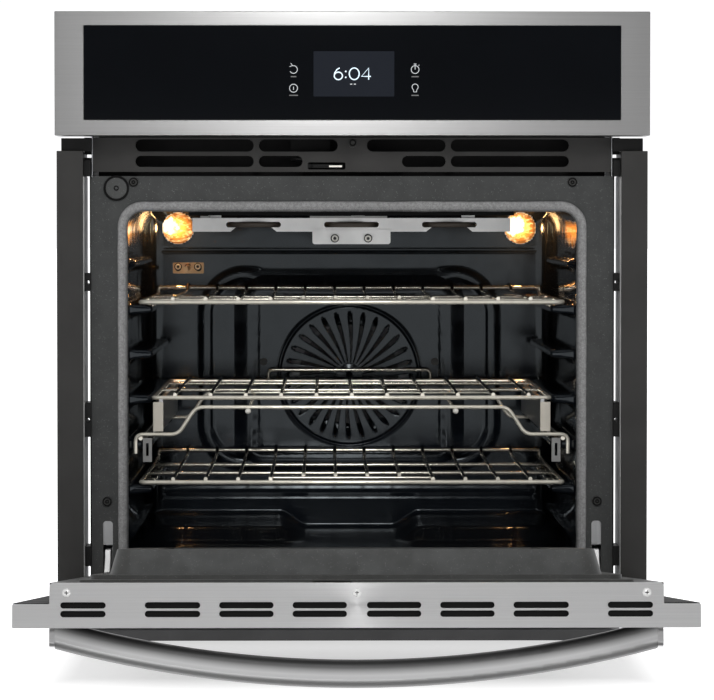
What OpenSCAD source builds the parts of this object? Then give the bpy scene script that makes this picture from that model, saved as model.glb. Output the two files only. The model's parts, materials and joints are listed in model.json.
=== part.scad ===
// Built-in wall oven with its door open. Origin: centre of the base's underside.
// +X is right seen from the front, +Y runs to the back and +Z is up. Millimetres.

/* [Overall size] */
// Width over the control panel and the side trims
oven_w = 686; // [680:1:700]
// Height from the base to the top of the control panel
oven_h = 730; // [726:1:760]
// Width of the chassis that goes into the cabinet
chassis_w = 608; // [606:1:612]
// Depth of the chassis behind the face of the front frame
chassis_d = 584; // [580:2:620]

/* [Control panel] */
// Height of the control panel
panel_h = 143; // [140:1:150]
// How far the control panel stands in front of the front frame
panel_proud = 45; // [40:1:50]

/* [Cavity] */
// Width between the cavity's side walls
cavity_w = 530; // [528:1:532]
// Depth from the front frame's face to the back wall
cavity_d = 485; // [480:1:488]
// Height of the cavity floor's lowest area above the base
floor_z = 84; // [82:1:86]
// Height of the cavity roof above the base
roof_z = 505; // [504:1:508]

/* [Door] */
// Height of the door's bottom edge when it is closed
door_bottom = 40; // [40:1:44]
// Height of the door's top edge when it is closed
door_top = 581; // [576:1:582]
// Thickness of the door without its plug
door_t = 45; // [44:1:48]
// Angle of the open door above the horizontal
door_tilt = 5.7; // [4:0.1:7]
// Distance of the handle's outer face from the door at its middle
handle_reach = 61.5; // [58:0.5:62]
// Distance of the handle's outer face from the door at its ends
handle_end_reach = 20.6; // [18:0.2:22]

/* [Racks] */
// Height of the lower rack's frame wire
lower_rack_z = 178.4; // [178:0.2:179]
// Height of the upper rack's frame wire
upper_rack_z = 392.6; // [392:0.2:393]
// Height of the glide shelf's frame wire
shelf_z = 279; // [278.6:0.1:279.4]
// Distance between the plain racks' wires
rack_pitch = 38.6; // [37:0.1:39]
// Distance between the glide shelf's wires
shelf_pitch = 42; // [41:0.1:42.5]

/* [Hidden] */
eps = 0.01;
sheet = 1.5;
half_w = oven_w / 2;
side_x = chassis_w / 2;
face_y = -chassis_d / 2;
rear_y = chassis_d / 2;
chassis_top = oven_h - 18;
panel_z = oven_h - panel_h;
panel_y = face_y - panel_proud;
wall_x = cavity_w / 2;
wall_y = face_y + cavity_d;

// Front frame, gasket and trims
frame_x = side_x + 0.6;
frame_bottom = 34;
frame_top = 541;
mouth_r = 26;
gasket_w = 13;
gasket_x = wall_x + 8.6;
gasket_proud = 4.5;
trim_y = face_y - 20;
trim_inner = side_x + 8.5;
trim_bottom = 64;
trim_top = 570;
bottom_trim_h = 13;
bracket_holes_z = [257, 417.5];
vent_top = 586;
vent_bottom = 546;
vent_y = face_y + 2;

// Door, in its closed place; at_rest() swings it open
door_in = face_y - 12;
door_out = door_in - door_t;
pivot_y = face_y - 28;
pivot_z = 60.5;
core_x = 306;
ear_t = 24;
flange_y = door_in + 7;
plug_y = flange_y + 26;
plug_bottom = 97;
plug_top = 493;
hinge_x = 286;
arm_t = 6;
pin_r = 4;
pin_gap = 0.05;
window_x = 205;
window_z = [135, 452];

// Handle: a bow whose outer face is an arc over its length
handle_x = 309;
handle_thick = 28.4;
handle_h = 22;
handle_z = door_top - 45;
handle_sag = handle_reach - handle_end_reach;
handle_r = (pow(handle_x, 2) + pow(handle_sag, 2)) / (2 * handle_sag);

// Racks
rack_front = face_y + 60;
rack_back = rack_front + 405;
rack_x = 246.5;
frame_wire = 6;
grid_wire = 4.4;
rib_pitch = (upper_rack_z - lower_rack_z) / 4;
rib_gap = 0.3;
rib_nose = 243;
rib_front = rack_front + 7;
rib_back = wall_y - 43;
runner_z = lower_rack_z - frame_wire / 2 - rib_gap + rib_pitch + 2.5;

// Back wall: fan chamber and fan cover
fan_z = 285.6;
grille_r = 93;
chamber_x = 126;
chamber_z = [160, 411];
chamber_d = 42;
lamp_x = 226;
lamp_z = 480;
sensor_x = -212.5;
sensor_z = 427;
bracket_y = face_y + 118;
broil_z = 484.5;
blower_pos = [0, 40, roof_z + 48];
latch_pos = [-52, vent_y + 9, 551];
inlet_pos = [200, 235, chassis_top - sheet];
inlet_r = 11;

// Shapes that repeat
module block(lo, hi) translate(lo) cube(hi - lo);

module both_sides() {
  children();
  mirror([1, 0, 0]) children();
}

module rounded(lo, hi, r) {
  translate([lo[0] + r, lo[1]]) square([hi[0] - lo[0] - 2 * r, hi[1] - lo[1]]);
  translate([lo[0], lo[1] + r]) square([hi[0] - lo[0], hi[1] - lo[1] - 2 * r]);
  for (x = [lo[0] + r, hi[0] - r], z = [lo[1] + r, hi[1] - r])
    translate([x, z]) circle(r = r, $fn = 48);
}

// A flat outline drawn in X and Z, made solid from y0 to y1
module along_y(y0, y1) translate([0, y1, 0]) rotate([90, 0, 0]) linear_extrude(y1 - y0) children();

// A flat outline drawn in Y and Z, made solid from x0 to x1
module along_x(x0, x1) translate([x0, 0, 0]) rotate([90, 0, 90]) linear_extrude(x1 - x0) children();

module plate(lo, hi, r, y0, y1) along_y(y0, y1) rounded(lo, hi, r);

module slot(x0, x1, z0, z1) rounded([x0, z0], [x1, z1], (z1 - z0) / 2 - eps);

module rod_y(x, z, r, y0, y1) translate([x, y0, z]) rotate([-90, 0, 0]) cylinder(r = r, h = y1 - y0, $fn = 48);

module wire(a, b, d) {
  v = b - a;
  translate(a) rotate([0, acos(v[2] / norm(v)), atan2(v[1], v[0])])
    cylinder(h = norm(v), d = d, $fn = 24);
}

module bead(p, d) translate(p) sphere(d = d, $fn = 24);

// A bent wire through a list of points, with a small bead at each bend
module bent_wire(points, d) {
  for (i = [0 : len(points) - 2]) wire(points[i], points[i + 1], d);
  for (i = [1 : len(points) - 2]) bead(points[i], d * 1.06);
}

// Swings a part of the closed door to the open rest position
module at_rest() translate([0, pivot_y, pivot_z]) rotate([90 - door_tilt, 0, 0])
  translate([0, -pivot_y, -pivot_z]) children();

// A pan-head screw whose head faces the front
module front_screw(x, y, z, head_r, shank_r, depth) {
  rod_y(x, z, head_r, y - 2.2, y);
  rod_y(x, z, shank_r, y, y + depth);
}

// Chassis shell
module base_pan() color("silver") difference() {
  block([-side_x + sheet, vent_y, 0], [side_x - sheet, rear_y - sheet, 40]);
  block([-side_x + 2 * sheet, vent_y + sheet, sheet], [side_x - 2 * sheet, rear_y - 2 * sheet, 41]);
  for (x = [-150, 150]) translate([x, 0, -1]) cylinder(r = 18, h = 4, $fn = 48);
}

module side_panel() color("silver") difference() {
  union() {
    block([side_x - sheet, vent_y, 2], [side_x, rear_y, chassis_top]);
    for (z = [120, 460]) block([side_x - 3, -220, z], [side_x - sheet, 220, z + 30]);
    block([side_x - 14, vent_y + sheet, chassis_top - 2 * sheet], [side_x - sheet, rear_y - sheet, chassis_top - sheet]);
  }
  for (i = [0 : 5]) along_x(side_x - 2 * sheet, side_x + 1)
    slot(60, 220, 590 + 14 * i, 595 + 14 * i);
}

module left_side_panel() mirror([1, 0, 0]) side_panel();
module right_side_panel() side_panel();

module top_cover() color("silver") difference() {
  block([-side_x + sheet, vent_y, chassis_top - sheet], [side_x - sheet, rear_y - sheet, chassis_top]);
  for (x = [-210 : 60 : 90], y = [120, 140]) translate([x, y, chassis_top - 2 * sheet])
    linear_extrude(4 * sheet) slot(0, 40, 0, 7);
  translate([inlet_pos[0], inlet_pos[1], chassis_top - 5]) cylinder(r = inlet_r + 2.6, h = 10, $fn = 48);
}

module rear_panel() color("silver") difference() {
  block([-side_x + sheet, rear_y - sheet, 2], [side_x - sheet, rear_y, chassis_top]);
  for (i = [0 : 7], x = [-230, 130]) along_y(rear_y - 5, rear_y + 5)
    slot(x, x + 100, 560 + 14 * i, 566 + 14 * i);
  for (i = [0 : 7]) rod_y(46 * cos(45 * i), fan_z + 46 * sin(45 * i), 7, rear_y - 5, rear_y + 5);
}

module front_frame() color("dimgray") difference() {
  plate([-frame_x, frame_bottom], [frame_x, frame_top], 4.5, face_y, vent_y);
  plate([-wall_x, floor_z + 2], [wall_x, roof_z], mouth_r, face_y - 1, vent_y + 1);
  both_sides() {
    plate([280, 66], [291.5, 138], 4, face_y - 1, vent_y + 1);
    rod_y(286.5, 161, 2.2, face_y - 1, vent_y + 1);
  }
  for (x = [-255, 257]) rod_y(x, 534, 2.2, face_y - 1, vent_y + 1);
  rod_y(-275, 527, 11.6, face_y - 1, vent_y + 1);
}

// Cavity liner
module liner_wall() color("midnightblue") {
  cove = 28;
  block([wall_x, vent_y, floor_z - sheet], [wall_x + sheet, wall_y + sheet, roof_z]);
  along_y(vent_y, wall_y) difference() {
    translate([wall_x - cove, roof_z - cove]) square(cove);
    translate([wall_x - cove, roof_z - cove]) circle(r = cove, $fn = 96);
  }
  for (k = [-1 : 5]) {
    top = lower_rack_z - frame_wire / 2 - rib_gap + rib_pitch * k;
    along_y(rib_front, rib_back) {
      translate([rib_nose + 4, top - 9]) square([wall_x - rib_nose - 4, 9]);
      translate([rib_nose + 4.4, top - 4.5]) circle(r = 4.4, $fn = 32);
      translate([rib_nose, top - 4.4]) square([6, 4.4]);
    }
  }
}

module liner_left_wall() mirror([1, 0, 0]) liner_wall();
module liner_right_wall() liner_wall();

module liner_roof() color("midnightblue") difference() {
  block([-wall_x - sheet, vent_y, roof_z], [wall_x + sheet, wall_y + sheet, roof_z + sheet]);
  both_sides() translate([147, wall_y - 20, roof_z - 1]) cylinder(r = 5, h = 4, $fn = 32);
}

module liner_floor() color("midnightblue") {
  block([-wall_x, vent_y, floor_z - sheet], [wall_x, wall_y, floor_z]);
  both_sides() along_x(73, wall_x - 0.2)
    polygon([[wall_y - 133, floor_z], [wall_y - 43, floor_z + 18], [wall_y, floor_z + 18], [wall_y, floor_z]]);
}

module liner_back_wall() color("midnightblue") difference() {
  union() {
    block([-wall_x, wall_y, floor_z - sheet], [wall_x, wall_y + sheet, roof_z]);
    block([-chamber_x - sheet, wall_y, chamber_z[0] - sheet],
      [chamber_x + sheet, wall_y + chamber_d + sheet, chamber_z[1] + sheet]);
  }
  block([-chamber_x, wall_y - 1, chamber_z[0]], [chamber_x, wall_y + chamber_d, chamber_z[1]]);
  both_sides() rod_y(lamp_x, lamp_z, 22, wall_y - 1, wall_y + 5);
  both_sides() rod_y(147, broil_z, 4.5, wall_y - 1, wall_y + 5);
  rod_y(sensor_x, sensor_z, 3.4, wall_y - 1, wall_y + 5);
  rod_y(0, fan_z, 9, wall_y + 10, wall_y + chamber_d + 5);
  both_sides() rod_y(30, fan_z + 100, 4.5, wall_y + 10, wall_y + chamber_d + 5);
}

module insulation_blanket() color("khaki") {
  difference() {
    block([-side_x + 4, -235, 44], [side_x - 4, wall_y - 3, roof_z + 34]);
    block([-wall_x - 3, -300, 64], [wall_x + 3, wall_y, roof_z + 3]);
  }
  difference() {
    block([-side_x + 4, wall_y + 3, 60], [side_x - 4, wall_y + 36, roof_z + 30]);
    block([-chamber_x - 6, wall_y, chamber_z[0] - 6], [chamber_x + 6, wall_y + 50, chamber_z[1] + 6]);
    both_sides() rod_y(lamp_x, lamp_z, 30, wall_y, wall_y + 50);
    both_sides() rod_y(147, broil_z, 8, wall_y, wall_y + 50);
    rod_y(sensor_x, sensor_z, 8, wall_y, wall_y + 50);
  }
}

module door_gasket() color("gray") difference() {
  plate([-gasket_x, roof_z + 6.6 - 432], [gasket_x, roof_z + 6.6], 30, face_y - gasket_proud, face_y);
  plate([-gasket_x + gasket_w, roof_z + 6.6 - 432 + gasket_w], [gasket_x - gasket_w, roof_z + 6.6 - gasket_w],
    30 - gasket_w, face_y - gasket_proud - 1, face_y + 1);
}

// Vent plate and control panel
module vent_plate() color("dimgray") difference() {
  plate([-side_x + sheet, vent_bottom], [side_x - sheet, vent_top], 1.4, vent_y, vent_y + sheet);
  both_sides() along_y(vent_y - 1, vent_y + 3) {
    slot(115, 253, 569.6, 584);
    slot(17, 109, 569.6, 584);
    slot(115, 253, 551.7, 564.8);
    slot(58, 109, 551.7, 564.8);
  }
  plate([latch_pos[0], 548.8], [-8, 557.2], 2, vent_y - 1, vent_y + 3);
  rod_y(0, 579, 2.2, vent_y - 1, vent_y + 3);
}

module control_trim() color("lightgray") difference() {
  block([-half_w, panel_y, panel_z], [half_w, face_y, oven_h]);
  block([-half_w + sheet, panel_y + sheet, panel_z + sheet], [half_w - sheet, face_y + 1, oven_h - sheet]);
  block([-half_w + 33.5, panel_y - 1, panel_z + 18], [half_w - 33.5, panel_y + 3, oven_h - 16.5]);
}

module control_glass() color("black") {
  block([-half_w + 33.7, panel_y + 0.4, panel_z + 18.2], [half_w - 33.7, panel_y + 3, oven_h - 16.7]);
  block([-half_w + 28, panel_y + sheet, panel_z + 13], [half_w - 28, panel_y + 4.4, oven_h - 12]);
}

module display_module() color("black") {
  block([-50, panel_y + 4.4, panel_z + 40], [52, panel_y + 14, panel_z + 102]);
  block([-42, panel_y + 14, panel_z + 48], [44, panel_y + 21, panel_z + 94]);
}

module control_board() color("darkgreen") {
  block([-150, panel_y + 21, panel_z + 26], [150, panel_y + 22.6, panel_z + 118]);
  for (x = [-130, -96, 84]) block([x, panel_y + 22.6, panel_z + 40], [x + 26, panel_y + 36, panel_z + 64]);
  for (x = [-60 : 22 : 60]) translate([x, panel_y + 22.6, panel_z + 90]) rotate([-90, 0, 0])
    cylinder(r = 6, h = 14, $fn = 32);
}

module control_tray() color("silver") difference() {
  block([-side_x, face_y - 6, panel_z + sheet], [side_x, vent_y, chassis_top]);
  block([-side_x + sheet, face_y - 7, panel_z + 2 * sheet], [side_x - sheet, vent_y - sheet, chassis_top - sheet]);
  for (x = [-220, 220]) rod_y(x, panel_z + 60, 12, face_y - 8, face_y + 8);
}

// Trims that cover the cabinet's cut edge
module side_trims() color("dimgray") both_sides() {
  difference() {
    block([trim_inner, trim_y, trim_bottom], [half_w, face_y - 0.5, trim_top]);
    block([trim_inner + sheet, trim_y + sheet, 0], [half_w - sheet, face_y, trim_top - sheet]);
  }
  block([trim_inner, face_y - 0.5, trim_bottom], [trim_inner + sheet, trim_y + 66, trim_top]);
}

module bottom_trim() color("dimgray") difference() {
  block([-trim_inner, trim_y, 0], [trim_inner, vent_y, bottom_trim_h]);
  block([-trim_inner - 1, trim_y + sheet, sheet], [trim_inner + 1, vent_y + 1, bottom_trim_h - sheet]);
}

module trim_brackets() color("black") both_sides() difference() {
  union() {
    for (z = [[86, 109], [237, 277], [407, 428], [541, 559.5]]) {
      block([frame_x, trim_y + 12, z[0]], [trim_inner, vent_y + 26, z[1]]);
      block([side_x, vent_y, z[0]], [frame_x + 1, vent_y + 26, z[1]]);
    }
    block([side_x - 0.4, trim_y + 11, trim_top], [338.5, face_y - 0.2, trim_top + 15]);
  }
  for (z = bracket_holes_z) rod_y(side_x + 4.25, z, 2.3, trim_y, vent_y + 30);
}

module frame_screws() color("gray") {
  for (p = [[-255, 534], [257, 534], [-286.5, 161], [286.5, 161]])
    front_screw(p[0], face_y, p[1], 5.6, 2.1, 8);
  front_screw(0, vent_y, 579, 4.6, 2.1, 8);
}

module frame_plug() color("dimgray") difference() {
  union() {
    rod_y(-275, 527, 14.4, face_y - 2.6, face_y);
    rod_y(-275, 527, 11.5, face_y, face_y + 6);
  }
  rod_y(-275, 527, 12.2, face_y - 3, face_y - 1.8);
}

// Hinges: the arm is fixed to the chassis and the door turns on its end
module hinge_receivers() color("silver") both_sides() {
  difference() {
    block([279, vent_y, 62], [293, -236, 140]);
    block([280.5, vent_y - 1, 63.5], [291.5, -237.5, 138.5]);
  }
  block([280.5, vent_y + 0.5, 110], [291.5, vent_y + 2.5, 138.5]);
}

module hinge_arms() color("silver") both_sides() {
  difference() {
    along_x(hinge_x - arm_t / 2, hinge_x + arm_t / 2) translate([pivot_y, pivot_z]) {
      circle(r = 9, $fn = 48);
      polygon([[-6, -6.5], [7, -8.5], [30, 9.5], [78, 9.5], [78, 43.5], [30, 43.5], [26, 31.5], [-6, 5.5]]);
    }
    translate([hinge_x - 10, pivot_y, pivot_z]) rotate([0, 90, 0])
      cylinder(r = pin_r + pin_gap, h = 20, $fn = 48);
  }
  block([280.5, pivot_y + 72, pivot_z + 12], [291.5, pivot_y + 82.5, pivot_z + 42]);
}

// Heating elements
module rod_bend(x, y, r, turn) translate([x, y, broil_z]) rotate([0, 0, turn])
  rotate_extrude(angle = 180, $fn = 96) translate([r, 0]) circle(d = 6.5, $fn = 32);

module broil_element() color("dimgray") {
  front = bracket_y + 23;
  back = wall_y - 45;
  for (x = [-147, 147]) wire([x, front, broil_z], [x, wall_y + 30, broil_z], 6.5);
  for (x = [-90, -29, 29, 90]) wire([x, front, broil_z], [x, back, broil_z], 6.5);
  for (x = [-118.5, 118.5]) rod_bend(x, front, 28.5, 180);
  rod_bend(0, front, 29, 180);
  for (x = [-59.5, 59.5]) rod_bend(x, back, 30.5, 0);
}

module broil_bracket() color("lightgray") difference() {
  union() {
    along_y(bracket_y, bracket_y + sheet) translate([-191.6, 476]) square([383.2, 16.4]);
    block([-191.6, bracket_y, 490.9], [191.6, bracket_y + 16, 492.4]);
    for (x = [-173, 133, 0]) block([x, bracket_y + 8, 492.4], [x + 16, bracket_y + 9.5, roof_z]);
  }
  along_y(bracket_y - 1, bracket_y + 3) for (x = [-118, 0, 118]) {
    slot(x - 33, x + 33, broil_z - 3.3, broil_z + 3.3);
    if (x != 0) polygon([[x - 29, 475], [x - 18, 484], [x + 18, 484], [x + 29, 475]]);
  }
}

module bracket_plate() color("lightgray") difference() {
  plate([-47, 461], [47, 479], 3, bracket_y - sheet, bracket_y);
  for (x = [-20, 20]) rod_y(x, 468, 2.1, bracket_y - 3, bracket_y + 3);
}

module bake_element() color("dimgray") {
  z = 67.25;
  for (x = [-150, -50, 50, 150]) wire([x, -150, z], [x, 120, z], 6.5);
  for (x = [-100, 100]) translate([x, -150, z]) rotate([0, 0, 180])
    rotate_extrude(angle = 180, $fn = 96) translate([50, 0]) circle(d = 6.5, $fn = 32);
  translate([0, 120, z]) rotate_extrude(angle = 180, $fn = 96) translate([50, 0]) circle(d = 6.5, $fn = 32);
}

module convection_element() color("dimgray") {
  translate([0, wall_y + 20, fan_z]) rotate([90, 0, 0])
    rotate_extrude($fn = 96) translate([86, 0]) circle(d = 6.5, $fn = 32);
  both_sides() wire([30, wall_y + 22, fan_z + 80.6], [30, wall_y + 24, fan_z + 101], 6);
  both_sides() wire([30, wall_y + 22, fan_z + 100], [30, wall_y + chamber_d + 16, fan_z + 100], 6);
}

// Convection fan behind its slotted cover
module fan_cover() color("midnightblue") difference() {
  union() {
    plate([-156, 152], [156, 424], 34, wall_y - 2, wall_y);
    plate([-chamber_x, 164], [chamber_x, 408], 28, wall_y - 5, wall_y - 2);
  }
  block([-chamber_x + 6, wall_y - 2, 170], [chamber_x - 6, wall_y + 1, 402]);
  translate([0, wall_y - 4.2, fan_z]) rotate([90, 0, 0]) difference() {
    cylinder(r = grille_r + 1.6, h = 2, $fn = 96);
    translate([0, 0, -1]) cylinder(r = grille_r - 1.6, h = 4, $fn = 96);
  }
  for (i = [0 : 27]) translate([0, wall_y, fan_z]) rotate([0, i * 360 / 28, 0])
    block([27, -7, -2], [85, 2, 2]);
  for (x = [-113, 113]) rod_y(x, 303.5, 2.05, wall_y - 6, wall_y);
}

module cavity_screws() color("silver") {
  for (x = [-20, 20]) front_screw(x, bracket_y - sheet, 468, 4, 2, 6);
  for (x = [-113, 113]) front_screw(x, wall_y - 5, 303.5, 5, 2, 3);
  for (x = [-226, -199]) front_screw(x, wall_y - sheet, sensor_z, 4, 2, sheet);
}

module fan_motor() color("gray") {
  y = wall_y + chamber_d + sheet;
  rod_y(0, fan_z, 40, y, y + 3);
  rod_y(0, fan_z, 32, y + 3, rear_y - 6);
  rod_y(0, fan_z, 4, wall_y + 6, y);
}

module convection_fan() color("silver") translate([0, wall_y, fan_z]) difference() {
  union() {
    rod_y(0, 0, 12, 9, 32);
    rod_y(0, 0, 66, 30, 31.5);
    for (i = [0 : 13]) rotate([0, i * 360 / 14, 0]) translate([18, 0, 0]) rotate([0, 18, 0])
      block([0, 9, -0.8], [46, 30.5, 0.8]);
  }
  rod_y(0, 0, 4.05, 0, 40);
}

// Cooling blower above the cavity
module blower_housing() color("silver") translate(blower_pos) difference() {
  block([-80, -80, -14], [80, 80, 40]);
  block([-80 + sheet, -80 + sheet, -14 + sheet], [80 - sheet, 80 - sheet, 40 - sheet]);
  translate([0, 0, 30]) cylinder(r = 38, h = 20, $fn = 64);
  block([-60, -90, -4], [60, -70, 30]);
}

module blower_motor() color("gray") translate(blower_pos) {
  translate([0, 0, 46]) cylinder(r = 36, h = 40, $fn = 64);
  translate([0, 0, 0]) cylinder(r = 4, h = 46, $fn = 32);
  for (a = [0 : 90 : 270]) rotate([0, 0, a]) block([20, -5, 42], [60, 5, 46]);
  for (a = [0 : 90 : 270]) rotate([0, 0, a]) block([55, -5, 40], [60, 5, 42]);
}

module blower_wheel() color("gray") translate(blower_pos) difference() {
  union() {
    translate([0, 0, -8]) cylinder(r = 60, h = 2, $fn = 96);
    translate([0, 0, -6]) cylinder(r = 12, h = 26, $fn = 48);
    for (i = [0 : 23]) rotate([0, 0, i * 15]) translate([48, 0, -6]) rotate([0, 0, 35])
      block([0, -0.8, 0], [13, 0.8, 30]);
  }
  translate([0, 0, -10]) cylinder(r = 4.05, h = 40, $fn = 48);
}

// Lamps, sensor and latch
module lamp_housings() color("silver") both_sides() translate([lamp_x, wall_y, lamp_z]) difference() {
  union() {
    rod_y(0, 0, 21.5, 0, 34);
    rod_y(0, 0, 26, sheet, sheet + 2);
    rod_y(0, 0, 12, 34, 46);
  }
  rod_y(0, 0, 20, -1, 32);
  rod_y(0, 0, 21, -1, 3);
}

module lamp_bulbs() color("white") both_sides() translate([lamp_x, wall_y, lamp_z]) {
  rod_y(0, 0, 6, 14, 32);
  translate([0, 12, 0]) sphere(r = 7.5, $fn = 48);
}

module lamp_lenses() color("lightyellow") both_sides() translate([lamp_x, wall_y, lamp_z])
  rotate([90, 0, 0]) difference() {
    union() {
      translate([0, 0, -3]) cylinder(r = 20.6, h = 3, $fn = 64);
      intersection() {
        translate([0, 0, -16]) sphere(r = 26, $fn = 96);
        cylinder(r = 22, h = 20, $fn = 64);
      }
    }
    translate([0, 0, -20]) sphere(r = 25.5, $fn = 96);
  }

module temperature_sensor() color("goldenrod") difference() {
  union() {
    plate([-233, 420], [-192, 434.5], 1.5, wall_y - sheet, wall_y);
    rod_y(sensor_x, sensor_z, 3, wall_y - 78, wall_y + 30);
    rod_y(sensor_x, sensor_z, 4.6, wall_y - 6, wall_y - sheet);
  }
  for (x = [-226, -199]) rod_y(x, sensor_z, 2.05, wall_y - 3, wall_y + 1);
}

module latch_motor() color("silver") {
  translate(latch_pos) {
    translate([0, 0, 9]) block([-20, 10, 0], [26, 54, 30]);
    translate([0, 0, -4]) cylinder(r = 3.5, h = 13, $fn = 32);
    block([-14, -7.5, 9], [14, 16, 11]);
  }
}

module latch_hook() color("silver") translate(latch_pos) difference() {
  union() {
    cylinder(r = 6.5, h = 4, $fn = 48);
    linear_extrude(4) polygon([[0, -3], [34, -3], [37, -6.5], [41, -6.5], [41, 3], [0, 4]]);
  }
  translate([0, 0, -1]) cylinder(r = 3.55, h = 6, $fn = 48);
}

module power_inlet() color("silver") translate(inlet_pos) difference() {
  union() {
    translate([0, 0, sheet]) cylinder(r = 20, h = 3, $fn = 64);
    translate([0, 0, -5]) cylinder(r = 13.5, h = 23, $fn = 64);
    translate([0, 0, -4]) cylinder(r = 17, h = 4, $fn = 6);
  }
  translate([0, 0, -6]) cylinder(r = inlet_r, h = 30, $fn = 64);
}

// Door, drawn closed and swung open
module door_skin() color("silver") at_rest() difference() {
  union() {
    difference() {
      block([-half_w, door_out, door_bottom], [half_w, door_out + ear_t, door_top - sheet]);
      block([-half_w + sheet, door_out + sheet, door_bottom + sheet],
        [half_w - sheet, door_out + ear_t - sheet, door_top]);
      block([-core_x, door_out + sheet, door_bottom + sheet], [core_x, door_in, door_top]);
    }
    block([-core_x, door_out + ear_t, door_bottom], [core_x, door_in - sheet, door_bottom + sheet]);
  }
  block([-238, door_out - 1, 128], [238, door_out + 3, 462]);
  both_sides() block([280, pivot_y - 14, door_bottom - 1], [292, door_in + 1, door_bottom + 3]);
}

module door_outer_glass() color("black") at_rest()
  plate([-252, 114], [252, 476], 3, door_out + sheet, door_out + sheet + 4);

module door_inner_glass() color("darkslategray") at_rest()
  plate([-window_x - 14, window_z[0] - 14], [window_x + 14, window_z[1] + 14], 8, plug_y - sheet - 4, plug_y - sheet);

module door_insulation() color("khaki") at_rest() difference() {
  block([-265, door_out + 5.5, 118], [265, door_in - sheet, 500]);
  block([-222, door_out, 148], [222, door_in, 447]);
}

module plug(t) hull() {
  plate([-253.5 + t, plug_bottom + t], [253.5 - t, plug_top - t], 22 - t, flange_y - 1 - 2 * t, flange_y - t);
  plate([-246 + t, plug_bottom + 7 + t], [246 - t, plug_top - 7 - t], 16 - t, plug_y - 1 - 2 * t, plug_y - t);
}

module door_liner() color("dimgray") at_rest() difference() {
  union() {
    block([-core_x, door_out + ear_t, door_bottom + sheet], [core_x, door_in, door_top - sheet]);
    plate([-279, 62], [279, 558], 8, door_in - 1, door_in + 2.5);
    plate([-271, 72], [271, 520], 14, door_in - 1, flange_y);
    plug(0);
  }
  block([-core_x + sheet, door_out + ear_t - 1, door_bottom], [core_x - sheet, door_in - sheet, door_top]);
  plate([-277.5, 63.5], [277.5, 556.5], 6.5, door_in - 3, door_in + 1);
  plate([-269.5, 73.5], [269.5, 518.5], 12.5, door_in - 3, flange_y - sheet);
  plug(sheet);
  plate([-window_x, window_z[0]], [window_x, window_z[1]], 6, plug_y - 7, plug_y + 1);
  both_sides() block([280, door_in - 4, door_bottom], [292, door_in + 5, 96]);
  block([-44, door_in - 4, 547], [-6, door_in + 5, 559]);
}

module door_end_plate() color("silver") at_rest() difference() {
  union() {
    translate([0, 0, door_top - sheet]) linear_extrude(sheet) rounded([-core_x, door_out], [core_x, door_in], 4);
    translate([0, 0, door_top - sheet]) linear_extrude(sheet)
      rounded([-half_w, door_out], [half_w, door_out + ear_t], 1.5);
  }
  both_sides() for (x = [[10, 64], [83, 137], [156, 211], [250, 295]], y = [19.4, 28])
    translate([0, door_in - y - 6, door_top - 3]) linear_extrude(6) slot(x[0], x[1], 0, 6.1);
  for (x = [-289, 0, 289]) translate([x, door_in - 10, door_top - 3]) cylinder(r = 2.1, h = 6, $fn = 32);
}

module door_end_screws() color("silver") at_rest() for (x = [-289, 0, 289])
  translate([x, door_in - 10, door_top]) {
    difference() {
      cylinder(r = 4.4, h = 1.8, $fn = 48);
      for (a = [0, 90]) rotate([0, 0, a]) block([-2, -0.5, 1], [2, 0.5, 3]);
    }
    translate([0, 0, -9]) cylinder(r = 2, h = 9, $fn = 32);
  }

module door_hinges() color("silver") at_rest() both_sides() {
  for (x = [276.5, 294]) block([x, door_out + sheet, 50], [x + sheet, door_in - sheet, 190]);
  block([276.5, door_out + sheet, 50], [295.5, door_out + 3, 190]);
  translate([277, pivot_y, pivot_z]) rotate([0, 90, 0]) cylinder(r = pin_r, h = 18, $fn = 48);
}

module handle_bar() color("silver") at_rest() difference() {
  translate([0, door_out - handle_reach + handle_r, handle_z]) rotate([0, 0, 253])
    rotate_extrude(angle = 34, $fn = 360)
      rounded([handle_r - handle_thick, -handle_h / 2], [handle_r, handle_h / 2], 9);
  block([-400, door_out - 0.4, handle_z - 40], [400, door_out + 500, handle_z + 40]);
  both_sides() block([handle_x - 5.5, door_out - 100, handle_z - 40], [400, door_out + 500, handle_z + 40]);
}

module handle_mounts() color("gainsboro") at_rest() both_sides()
  translate([handle_x - 5.5, 0, 0]) {
    along_x(0, 5.5) rounded([door_out - handle_end_reach, handle_z - 11.5], [door_out, handle_z + 11.5], 6);
  }

// Racks
module plain_rack(z) color("lightgray") {
  top = z + 3.9;
  bend = rack_back - 18;
  for (s = [-1, 1]) {
    wire([s * rack_x, rack_front, z], [s * rack_x, rack_back, z], frame_wire);
    wire([s * rack_x, rack_back, z], [s * rack_x, rack_back, z + 9], frame_wire - 0.4);
    for (p = [[rack_front, z], [rack_back, z], [rack_back, z + 9]])
      bead([s * rack_x, p[0], p[1]], frame_wire + 0.4);
  }
  wire([-rack_x, rack_front, z], [rack_x, rack_front, z], frame_wire);
  wire([-rack_x, rack_back, z + 9], [rack_x, rack_back, z + 9], frame_wire);
  for (y = [138, 271]) wire([-rack_x, rack_front + y, z], [rack_x, rack_front + y, z], 5);
  wire([-100, rack_front + 66, z], [100, rack_front + 66, z], grid_wire);
  for (i = [0 : 11]) {
    x = (i - 5.5) * rack_pitch;
    front = rack_front + (abs(x) < 90 ? 65 : -1);
    wire([x, front, top], [x, bend, top], grid_wire);
    wire([x, bend, top], [x, rack_back, z + 12.4], grid_wire);
    bead([x, bend, top], grid_wire + 0.3);
    bead([x, front, top], grid_wire + 0.8);
  }
}

module upper_rack() plain_rack(upper_rack_z);
module lower_rack() plain_rack(lower_rack_z);

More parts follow.
